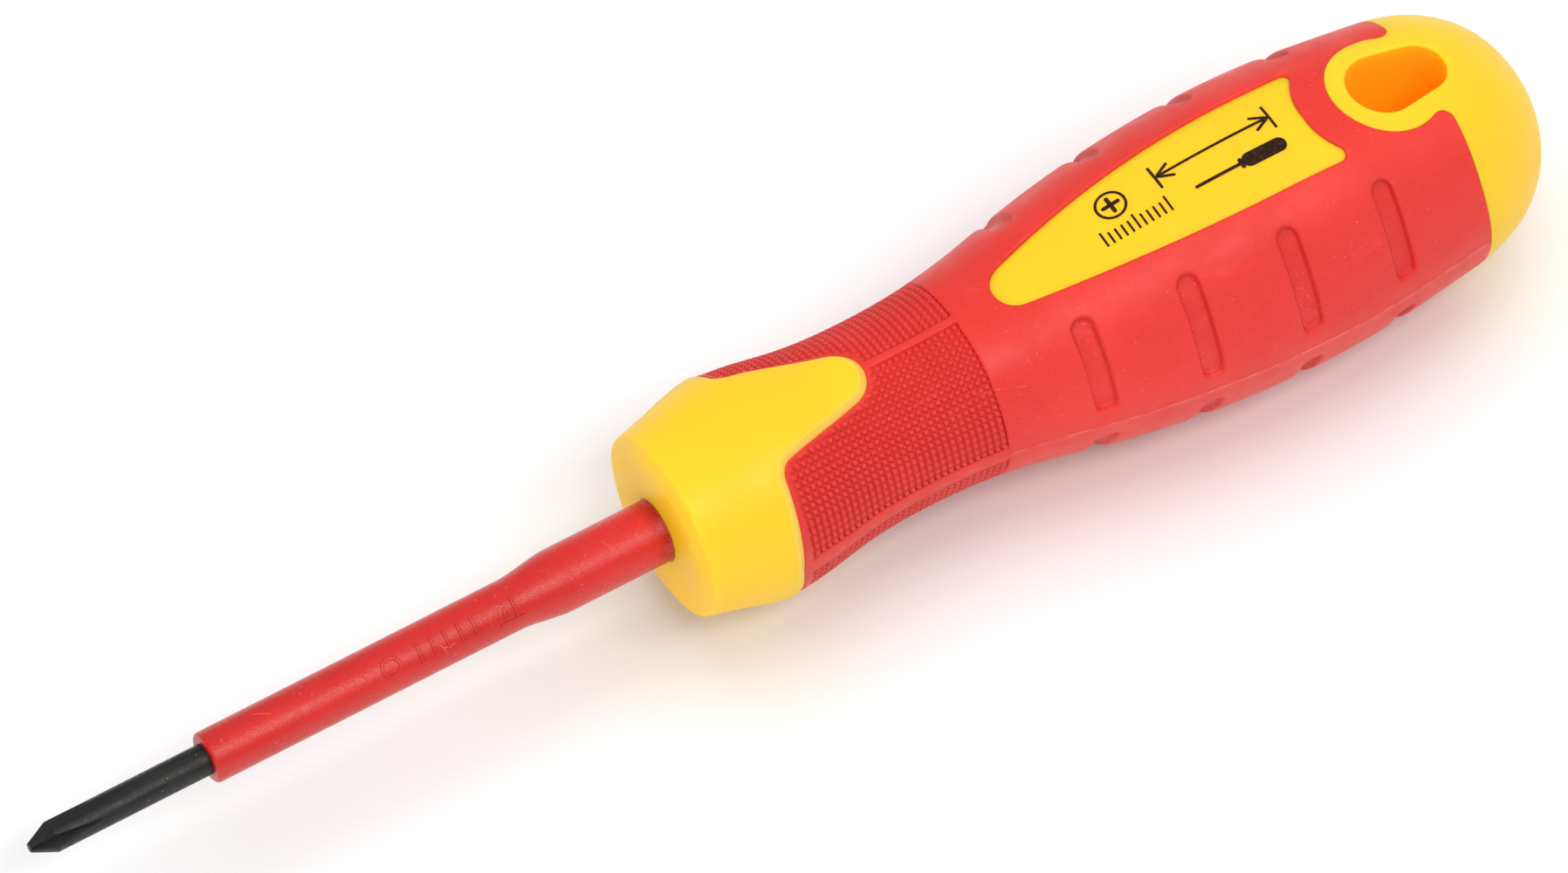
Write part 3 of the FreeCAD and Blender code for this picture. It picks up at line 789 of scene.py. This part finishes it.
def add_dome(shape):
    """Ring round the hanging hole, the hole's wall and the domed end."""
    patch = Patch()
    add_lip(patch, RING, body_skin, rounding(SEAM_LIP) + [BESIDE_RING], -1)
    mouth = []
    for distance, drop in rounding(HOLE_MOUTH, 8) + [BESIDE_HOLE]:
        x, turn = to_turns(plan_shifted(HOLE_PLAN, distance)).T
        places = place(x, turn, body_skin(x, turn)) - (0, 0, drop)
        patch.join(patch.add(flat(x, turn), places))
        mouth.append((flat(x, turn), places))
    patch.line(DOME_START, SIDE_STEPS, body_skin(DOME_START, SIDE_STEPS))
    patch.rim(GRIP_END, DOME_START, RIM_DOME, body_skin)
    hole_region, hole_edge = mouth[0]
    wanted = lambda points: inside(DOME_REGION, points) & ~inside(hole_region, points)
    box = (RING_CENTRE - RING_RADIUS, DOME_START, 0, QUARTER - SIDE_GAP)
    patch.scatter(box, MESH_DOME, wanted, body_skin)
    shape.add(*patch.triangles(wanted))
    wall = [hole_edge * (1, 1, share) for share in np.linspace(1, 0, 9)]
    shape.strip(wall, flip=True)
    skirt(shape, RING, lambda x, turn: body_skin(x, turn) - SEAM_LIP, core_skin, True)
    tail = BODY_CURVE[BODY_CURVE[:, 0] > DOME_START + DOME_GAP][::DOME_SKIP]
    rings = [place(DOME_START, SIDE_STEPS, body_skin(DOME_START, SIDE_STEPS))]
    for x, radius, bulge in tail:
        rings.append(place(x, SIDE_STEPS, radius + bulge * (1 - np.cos(FACETS * SIDE_STEPS))))
    rings.append(place(HANDLE_LENGTH, SIDE_STEPS, 0.0))
    shape.strip(rings)


def plan_shifted(outline, distance):
    """Plan outline moved outwards by a distance, with its ends kept on the middle line."""
    along = np.gradient(outline, axis=0)
    along[[0, -1], 0] = 0.0
    along /= np.linalg.norm(along, axis=1)[:, None]
    return outline + distance * np.stack([-along[:, 1], along[:, 0]], 1)


# ---- sleeve of the blade, and the raised and printed marks ----

def bead_height(turn):
    """Uneven height of the flash where the sleeve enters the collar."""
    waves = [height * np.sin(rate * turn + start) for height, rate, start in BEAD_WAVES]
    return BEAD * (BEAD_BASE + sum(waves))


def sleeve_radius(x):
    """Outside of the sleeve between its front edge and the collar."""
    return SLEEVE_THIN + (SLEEVE_THICK - SLEEVE_THIN) * ease(FLARE_START, FLARE_END, x)


def make_sleeve(material):
    """Insulating tube round the blade, with the thin flash left where it meets the collar."""
    shape = Shape()
    front = BARE_BLADE - BLADE_LENGTH
    nose = [(front + SLEEVE_EDGE * (1 - math.cos(a)), SLEEVE_THIN - SLEEVE_EDGE * (1 - math.sin(a)))
            for a in np.linspace(0, QUARTER, 8)]
    thin = [(x, SLEEVE_THIN) for x in np.arange(front + SLEEVE_STEP, FLARE_START, SLEEVE_STEP)]
    flare = [(x, sleeve_radius(x)) for x in np.linspace(FLARE_START, FLARE_END, 25)]
    thick = [(x, SLEEVE_THICK) for x in (*SLEEVE_RINGS, -BEAD)]
    bead = bead_height(SIDE_STEPS)
    thick += [(-before * BEAD, SLEEVE_THICK + share * bead) for before, share in BEAD_PROFILE]
    neck = [(0.0, BORE_RADIUS), (BORE_DEPTH, BORE_RADIUS), (BORE_DEPTH, SHANK_RADIUS)]
    bore = [(x, SHANK_RADIUS) for x in (0.0, FLARE_START, front / 2, front)]
    rings = [place(x, SIDE_STEPS, r) for x, r in nose + thin + flare + thick + neck + bore]
    shape.strip(rings + rings[:1])
    shape.build("blade_sleeve_skin", "blade_sleeve", "sleeve_plastic", material, SHARP_SLEEVE)


class Marks:
    """Small closed solids that lie on a round surface, in (x, width round the surface)."""

    def __init__(self, surface, unroll, side):
        self.surface, self.unroll, self.side = surface, unroll, side
        self.places, self.faces, self.count = [], [], 0

    def stack(self, loops, heights):
        """Closed solid from loops that each have a height above the surface."""
        first, width = self.count, len(loops[0])
        for run, height in zip(loops, heights):
            x, turn = run[:, 0], run[:, 1] / self.unroll
            spot = place(x, turn, self.surface(x, turn) + height)
            self.places.append(spot * (1, self.side, self.side))
            self.count += width
        ids = np.arange(first, self.count).reshape(-1, width)
        self.faces += grid_quads(ids[:, [*range(width), 0]]).reshape(-1, 4).tolist()

    def bar(self, start, end, half_width, profile):
        """Rounded bar between two points."""
        a, b = np.array(start, float), np.array(end, float)
        along = (b - a) / np.linalg.norm(b - a)
        across = np.array([-along[1], along[0]])
        lean = np.radians(np.linspace(-90, 90, 9))[:, None]
        steps = np.linspace(0, 1, 9)[1:-1, None]
        loops = []
        rows = [(half_width, profile[0][1]), *profile, (half_width, profile[-1][1])]
        for inset, _ in rows:
            r = half_width - inset
            cap = r * (np.cos(lean) * along + np.sin(lean) * across)
            run = [b + cap, b + (a - b) * steps + r * across, a - cap, a + (b - a) * steps - r * across]
            loops.append(np.vstack(run))
        self.stack(loops, [height for _, height in rows])

    def ring(self, centre, radius, half_width, profile):
        """Round ring. Its profile is used on both edges."""
        turn = np.linspace(0, 2 * math.pi, 41)[:-1]
        wheel = np.stack([np.cos(turn), np.sin(turn)], 1)
        profile = [(inset, height) for inset, height in profile if inset < half_width]
        rows = [(radius + half_width - inset, height) for inset, height in profile]
        rows += [(radius - half_width + inset, height) for inset, height in profile[::-1]]
        rows.append(rows[0])
        self.stack([np.array(centre) + r * wheel for r, _ in rows], [height for _, height in rows])

    def build(self, name, slot, material):
        make_piece(name, material, np.vstack(self.places), self.faces, SHARP_MARK)


def make_sleeve_marks(material):
    """Plain raised ticks and a ring on the sleeve."""
    surface = lambda x, turn: sleeve_radius(x)
    marks = Marks(surface, SLEEVE_THIN, 1)
    middle = MARK_TURN * SLEEVE_THIN
    low, high = middle - MARK_HEIGHT / 2, middle + MARK_HEIGHT / 2
    for x in MARK_TICKS:
        marks.bar((x, low), (x, high), MARK_STROKE, MARK_PROFILE)
    marks.ring((MARK_RING, middle), MARK_HEIGHT / 2, MARK_STROKE, MARK_PROFILE)
    start, end = MARK_LINE
    beside = high + MARK_LINE_GAP
    marks.bar((start, beside), (end, beside), MARK_LINE_STROKE, MARK_PROFILE)
    marks.build("sleeve_marks", "sleeve_plastic", material)


def make_print(material, name, side):
    """Plain printed signs: a crosshead, a length arrow, a row of ticks and a small screwdriver."""
    pad = lambda x, turn: body_skin(x, turn) - PAD_RECESS
    marks = Marks(pad, UNROLL, side)

    def stroke(a, b, width=PRINT_STROKE, layer=0):
        profile = [(inset, height + layer * PRINT_LAYER) for inset, height in PRINT_PROFILE]
        marks.bar(a, b, width / 2, profile)

    x, y = PRINT_CROSS
    marks.ring((x, y), PRINT_CROSS_RADIUS, PRINT_STROKE / 2, PRINT_PROFILE)
    stroke((x - PRINT_CROSS_ARM, y), (x + PRINT_CROSS_ARM, y), PRINT_CROSS_STROKE)
    stroke((x, y - PRINT_CROSS_ARM), (x, y + PRINT_CROSS_ARM), PRINT_CROSS_STROKE, 1)
    start, end, y = PRINT_ARROW
    (near_x, near_y), (far_x, far_y) = PRINT_BARB
    stroke((start, y), (end, y))
    for x, way in ((start, 1), (end, -1)):
        stroke((x, y - PRINT_TALL), (x, y + PRINT_TALL), layer=1)
        for layer, lean in ((2, -1), (3, 1)):
            near, far = (x + way * near_x, y + lean * near_y), (x + way * far_x, y + lean * far_y)
            stroke(near, far, layer=layer)
    first, gap, y = PRINT_TICKS
    for number in range(PRINT_TICK_COUNT):
        x = first + number * gap
        low = PRINT_TICK_LONG if number % 5 == 0 else PRINT_TICK_SHORT
        stroke((x, y - low), (x, y + PRINT_TICK_LONG), PRINT_TICK_STROKE)
    start, end, y = PRINT_DRIVER
    shaft, neck, handle = PRINT_DRIVER_STROKES
    stroke((start, y), (PRINT_HANDLE, y), shaft)
    stroke((PRINT_HANDLE + PRINT_HANDLE_ROUND, y), (end - PRINT_HANDLE_ROUND, y), handle, 1)
    x = PRINT_HANDLE - PRINT_NECK
    stroke((x, y - PRINT_NECK), (x, y + PRINT_NECK), neck, 2)
    marks.build(name, "body_plastic", material)


# ---- materials, with colours as linear red, green and blue ----

RUBBER = {
    "deep": (0.67, 0.023, 0.014), "light": (0.76, 0.033, 0.021), "grain": (0.80, 0.080, 0.064),
    # slot is painted shade on the slot walls and in the pattern's grooves.
    "scuff": (0.82, 0.085, 0.070), "groove_shade": (0.52, 0.006, 0.004), "slot": (0.52, 0.007, 0.005),
    "fleck": (0.90, 0.24, 0.20), "seam": (0.90, 0.30, 0.27), "dust": (0.86, 0.30, 0.28),
    "hair": (0.85, 0.26, 0.24), "sheen": (1.0, 0.55, 0.5, 1),
}
# In YELLOW, hollow is painted deep orange shade and glow a painted glow, both for the hollows.
YELLOW = {
    "deep": (0.95, 0.56, 0.010), "light": (0.98, 0.61, 0.015), "hollow": (1.0, 0.36, 0.005),
    # thin is a painted highlight for the slanted yellow walls.
    "grime": (0.85, 0.45, 0.02), "thin": (1.0, 0.56, 0.10), "speck": (0.42, 0.17, 0.012),
    "hair": (1.0, 0.78, 0.22), "scatter": (1.0, 0.38, 0.06), "glow": (1.0, 0.25, 0.0, 1),
}
SLEEVE = {
    "deep": (0.52, 0.012, 0.008), "light": (0.63, 0.018, 0.012), "shade": (0.20, 0.006, 0.003),
    "dust": (0.84, 0.26, 0.25), "hair": (0.86, 0.28, 0.26),
}
STEEL = {
    "deep": (0.018, 0.018, 0.017), "light": (0.031, 0.030, 0.028), "worn": (0.30, 0.29, 0.25),
    "scratch": (0.11, 0.105, 0.09),
}
INK = {"deep": (0.022, 0.009, 0.004), "light": (0.060, 0.024, 0.007)}
CORE = {"deep": (0.060, 0.060, 0.062), "light": (0.090, 0.090, 0.094)}
FLOOR = {"deep": (0.86, 0.86, 0.86), "light": (0.89, 0.89, 0.89)}


class Look:
    """Node graph of one material, painted layer by layer. Its patterns have sizes in mm."""

    def __init__(self, name, paints, **sockets):
        self.material = bpy.data.materials.new(name)
        self.material.use_nodes = True
        self.tree = self.material.node_tree
        self.shader = self.tree.nodes["Principled BSDF"]
        for socket, value in sockets.items():
            self.shader.inputs[socket.replace("_", " ")].default_value = value
        self.place = self.add("ShaderNodeTexCoord").outputs["Object"]
        self.paints = paints
        self.colour = (*paints["deep"], 1)

    def add(self, kind, inputs=(), **settings):
        node = self.tree.nodes.new(kind)
        for key, value in settings.items():
            setattr(node, key, value)
        for key, value in dict(inputs).items():
            if isinstance(value, bpy.types.NodeSocket):
                self.tree.links.new(value, node.inputs[key])
            else:
                node.inputs[key].default_value = value
        return node

    def link(self, value, socket):
        self.tree.links.new(value, self.shader.inputs[socket])

    def finish(self, roughness, normal=None):
        self.link(self.colour, "Base Color")
        self.link(roughness, "Roughness")
        if normal:
            self.link(normal, "Normal")
        return self.material

    def noise(self, size, detail=2.0, stretch=None, rough=0.5):
        """Soft noise with lumps of a size, which a stretch under 1 makes longer."""
        source = self.place
        if stretch:
            source = self.add("ShaderNodeMapping", {"Vector": source, "Scale": stretch}).outputs[0]
        inputs = {"Vector": source, "Scale": 1 / (size * MM), "Detail": detail, "Roughness": rough}
        return self.add("ShaderNodeTexNoise", inputs).outputs[0]

    def cells(self, size, feature="F1"):
        inputs = {"Vector": self.place, "Scale": 1 / (size * MM)}
        return self.add("ShaderNodeTexVoronoi", inputs, feature=feature).outputs[0]

    def range(self, value, low, high, out_low=0.0, out_high=1.0, kind="SMOOTHSTEP"):
        inputs = {0: value, 1: low, 2: high, 3: out_low, 4: out_high}
        return self.add("ShaderNodeMapRange", inputs, interpolation_type=kind).outputs[0]

    def math(self, operation, a, b):
        return self.add("ShaderNodeMath", {0: a, 1: b}, operation=operation).outputs[0]

    def times(self, a, b):
        return self.math("MULTIPLY", a, b)

    def coat(self, paint, share, amount=None):
        """Lay a share of a paint over the colour so far."""
        if amount is not None:
            share = self.times(share, amount)
        inputs = {0: share, 6: self.colour, 7: (*self.paints[paint], 1)}
        self.colour = self.add("ShaderNodeMix", inputs, data_type="RGBA").outputs[2]

    def roughness(self, size, detail, low, high):
        return self.range(self.noise(size, detail), 0.3, 0.7, low, high)

    def bump(self, height, depth, below=None):
        """Relief with a depth in mm, on top of the relief below."""
        inputs = {"Height": height, "Distance": depth * MM, "Strength": 1.0}
        if below is not None:
            inputs["Normal"] = below
        return self.add("ShaderNodeBump", inputs).outputs[0]

    def hollow(self, reach, low, high, own=False):
        """Mask for painted shade: 1 in corners and grooves closer than the reach, 0 in the open, of its
        own piece or all.
        """
        inputs = {"Distance": reach * MM}
        node = self.add("ShaderNodeAmbientOcclusion", inputs, samples=6, only_local=own)
        return self.range(node.outputs["AO"], high, low)

    def tone(self):
        """The mesh's own map of where its colour differs: painted shade in slots and pattern grooves, a
        painted highlight on the slanted yellow walls, and the pale mould line.
        """
        return self.add("ShaderNodeAttribute", attribute_name="tone").outputs["Fac"]

    def some(self, pattern, size, detail, share, edge):
        """A share of a pattern, chosen by noise with a soft edge."""
        chosen = self.range(self.noise(size, detail), 1 - share, 1 - share + edge)
        return self.times(pattern, chosen)

    def specks(self, size, share):
        """Round specks."""
        return self.some(self.range(self.cells(size), 0.16, 0.07), size * 3.7, 1.0, share, 0.04)

    def hairs(self, size, share, width):
        """Broken thin lines."""
        lines = self.range(self.cells(size, "DISTANCE_TO_EDGE"), width, 0.0)
        return self.some(lines, size * 1.3, 2.0, share, 0.08)


def grip_look():
    """Satin rubber with scuffs, dust and hairs, and painted shade in its grooves and on its slot walls."""
    look = Look("soft_red_rubber", RUBBER, IOR=1.42, Sheen_Weight=0.06, Sheen_Roughness=0.5,
                Sheen_Tint=RUBBER["sheen"])
    look.coat("light", look.range(look.noise(14.0, 3.0), 0.35, 0.68))
    look.coat("grain", look.range(look.noise(0.14, 2.0, None, 0.7), 0.34, 0.68, 0.0, 0.26, "LINEAR"))
    scuff = look.range(look.noise(5.0, 6.0, (1.0, 2.2, 2.2), 0.62), 0.56, 0.74, 0.0, 0.28)
    look.coat("scuff", scuff)
    # Painted shade in the grooves and creases, from ambient occlusion.
    groove_shade = look.times(look.hollow(0.36, 0.3, 0.82), 0.6)
    look.coat("groove_shade", groove_shade)
    # Painted shade from the mesh's tone: darkest halfway down the slot walls, faint on their floors, and
    # in the pattern's grooves.
    tone = look.tone()
    slot = look.math("MAXIMUM", tone, 0.0)
    wall = look.times(look.math("SUBTRACT", 1.0, slot), slot)
    look.coat("slot", look.math("ADD", look.times(wall, 1.8), look.times(slot, 0.04)))
    flecks = look.range(look.noise(0.16, 1.0), 0.60, 0.72)
    patches = look.range(look.noise(3.4, 2.0), 0.48, 0.62, 0.0, 0.7)
    low = look.math("MAXIMUM", groove_shade, look.times(slot, 0.6))
    look.coat("fleck", look.times(flecks, patches), low)
    seam = look.math("MAXIMUM", look.times(tone, -1.0), 0.0)
    look.coat("seam", seam, look.range(look.noise(1.3, 3.0), 0.44, 0.60, 0.1, 0.75))
    dust = look.specks(0.5, 0.43)
    look.coat("dust", dust, 0.45)
    look.coat("hair", look.hairs(4.3, 0.37, 0.012), 0.4)
    rough = look.math("ADD", look.roughness(2.4, 4.0, 0.42, 0.55), look.times(scuff, 0.25))
    rubbed = look.times(look.noise(0.17, 3.0, None, 0.65), look.math("ADD", slot, 0.35))
    waves = look.bump(look.noise(1.6, 2.0), 0.010, look.bump(rubbed, 0.022))
    return look.finish(rough, look.bump(dust, 0.012, waves))


def body_look():
    """Smooth yellow plastic that lets light through, with painted deep orange shade and a painted glow in
    its hollows, and a painted highlight on its slanted walls.
    """
    look = Look("yellow_hard_plastic", YELLOW, IOR=1.46, Subsurface_Weight=0.45, Subsurface_Scale=0.004,
                Subsurface_Radius=YELLOW["scatter"], Emission_Color=YELLOW["glow"])
    look.coat("light", look.range(look.noise(17.0, 2.0), 0.34, 0.68))
    # Painted deep orange shade and a painted glow in the hollows, from the piece's own ambient occlusion,
    # standing in for light scattered through the plastic.
    deep = look.hollow(7.0, 0.15, 0.85, True)
    look.coat("hollow", deep, 0.85)
    look.link(look.times(deep, GLOW), "Emission Strength")
    look.coat("grime", look.range(look.noise(3.2, 5.0, None, 0.6), 0.60, 0.78, 0.0, 0.15))
    # Painted highlight: the slanted yellow walls, marked by the mesh's tone, are painted paler.
    look.coat("thin", look.tone(), 0.75)
    look.coat("speck", look.specks(2.6, 0.30), 0.5)
    look.coat("hair", look.hairs(6.5, 0.36, 0.008), 0.35)
    normal = look.bump(look.noise(3.0, 1.0), 0.010, look.bump(look.noise(0.35, 2.0), 0.003))
    return look.finish(look.roughness(2.8, 5.0, 0.40, 0.52), normal)


def sleeve_look():
    """Fine-grained red plastic."""
    look = Look("red_sleeve_plastic", SLEEVE, IOR=1.5)
    look.coat("light", look.range(look.noise(8.0, 3.0, (0.35, 1.0, 1.0)), 0.35, 0.68))
    look.coat("shade", look.hollow(2.2, 0.45, 0.85), 0.8)
    look.coat("dust", look.specks(0.6, 0.44), 0.5)
    look.coat("hair", look.hairs(3.1, 0.36, 0.014), 0.55)
    grain = look.bump(look.noise(0.09, 1.0, None, 0.6), 0.028)
    return look.finish(look.roughness(1.1, 4.0, 0.20, 0.31), look.bump(look.noise(1.2, 2.0), 0.007, grain))


def steel_look():
    """Blackened steel, drawn along the blade, with worn specks and scratches."""
    look = Look("black_steel", STEEL, Metallic=0.55, IOR=1.5)
    look.coat("light", look.range(look.noise(0.5, 4.0, (0.08, 1.0, 1.0), 0.6), 0.35, 0.70))
    look.coat("worn", look.specks(0.45, 0.42), 0.8)
    scratch = look.noise(0.28, 5.0, (0.12, 1.0, 1.0), 0.7)
    look.coat("scratch", look.range(scratch, 0.66, 0.76, 0.0, 0.6))
    grain = look.bump(look.noise(0.12, 2.0), 0.004)
    normal = look.bump(look.noise(0.3, 3.0, (0.1, 1.0, 1.0)), 0.004, grain)
    return look.finish(look.roughness(0.4, 4.0, 0.36, 0.52), normal)


def ink_look():
    look = Look("brown_ink", INK, IOR=1.25)
    look.coat("light", look.range(look.noise(0.35, 4.0), 0.45, 0.75))
    return look.finish(look.roughness(0.5, 3.0, 0.60, 0.75), look.bump(look.noise(0.2, 2.0), 0.004))


def core_look():
    look = Look("dark_core_plastic", CORE, IOR=1.5)
    look.coat("light", look.range(look.noise(4.0, 3.0), 0.35, 0.68))
    return look.finish(look.roughness(0.9, 3.0, 0.48, 0.60), look.bump(look.noise(0.3, 2.0), 0.006))


def floor_look():
    look = Look("pale_floor", FLOOR)
    look.coat("light", look.noise(120.0, 2.0))
    return look.finish(look.roughness(40.0, 2.0, 0.75, 0.85))


def set_node_material(node, made):
    """Material of a CAD node that stays visible."""
    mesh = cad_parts[node].data
    for index in range(len(mesh.materials)):
        mesh.materials[index] = made


def main():
    sleeve_red = sleeve_look()
    ink = ink_look()
    make_grip(grip_look())
    make_body(body_look())
    make_sleeve(sleeve_red)
    make_sleeve_marks(sleeve_red)
    make_print(ink, "label_print_top", 1)
    make_print(ink, "label_print_bottom", -1)
    set_node_material("blade", steel_look())
    set_node_material("tang_core", core_look())


main()

# ---- camera, floor and lights ----

def set_camera():
    """Camera of the main view. Returns the way to it and the point it looks at."""
    back = Vector((-math.sin(VIEW_LEAN), -math.cos(VIEW_LEAN) * math.sin(VIEW_SIDE),
                   math.cos(VIEW_LEAN) * math.cos(VIEW_SIDE)))
    tool = Vector((1, 0, 0))
    along = (tool - back * tool.dot(back)).normalized()
    down = back.cross(along)
    if down.z > 0:
        down.negate()
    right = along * math.cos(VIEW_SLOPE) + down * math.sin(VIEW_SLOPE)
    up = back.cross(right)
    aim = Vector((COLLAR_X + VIEW_AIM[0] * MM, 0, AXIS_Z)) + down * VIEW_AIM[1] * MM
    data = bpy.data.cameras.new("camera")
    camera = bpy.data.objects.new("camera", data)
    bpy.context.collection.objects.link(camera)
    turn = Matrix((right, up, back)).transposed()
    camera.matrix_world = Matrix.Translation(aim + back * VIEW_DISTANCE) @ turn.to_4x4()
    data.sensor_width = SENSOR
    data.lens = SENSOR * VIEW_DISTANCE / FRAME_WIDTH
    data.clip_end = 10
    bpy.context.scene.camera = camera
    return back, aim


def add_light(name, aim, way, distance, size, power, glossy):
    """Rectangular light, long along the tool, that shines on the aim from a direction."""
    way = Vector(way).normalized()
    data = bpy.data.lights.new(name, "AREA")
    data.shape = "RECTANGLE"
    data.energy = power
    data.size, data.size_y = size
    light = bpy.data.objects.new(name, data)
    bpy.context.collection.objects.link(light)
    side = Vector((1, 0, 0)) - way * way.x
    side.normalize()
    turn = Matrix((side, way.cross(side), way)).transposed()
    light.matrix_world = Matrix.Translation(aim + way * distance) @ turn.to_4x4()
    light.visible_glossy = glossy


def set_studio():
    back, aim = set_camera()
    world = bpy.data.worlds.new("studio")
    world.use_nodes = True
    world.node_tree.nodes["Background"].inputs[0].default_value = (1, 1, 1, 1)
    world.node_tree.nodes["Background"].inputs[1].default_value = WORLD_LIGHT
    bpy.context.scene.world = world
    bpy.context.scene.view_settings.view_transform = "Standard"
    add_light("top", aim, *TOP_LIGHT)
    add_light("front", aim, (FRONT_ASIDE, back.y, back.z), *FRONT_LIGHT)
    add_light("side", aim, *SIDE_LIGHT)
    mesh = bpy.data.meshes.new("floor")
    half = FLOOR_SIZE / 2
    floor_corners = [(-half, -half, 0), (half, -half, 0), (half, half, 0), (-half, half, 0)]
    mesh.from_pydata(floor_corners, [], [(0, 1, 2, 3)])
    mesh.materials.append(floor_look())
    floor = bpy.data.objects.new("floor", mesh)
    bpy.context.collection.objects.link(floor)


set_studio()
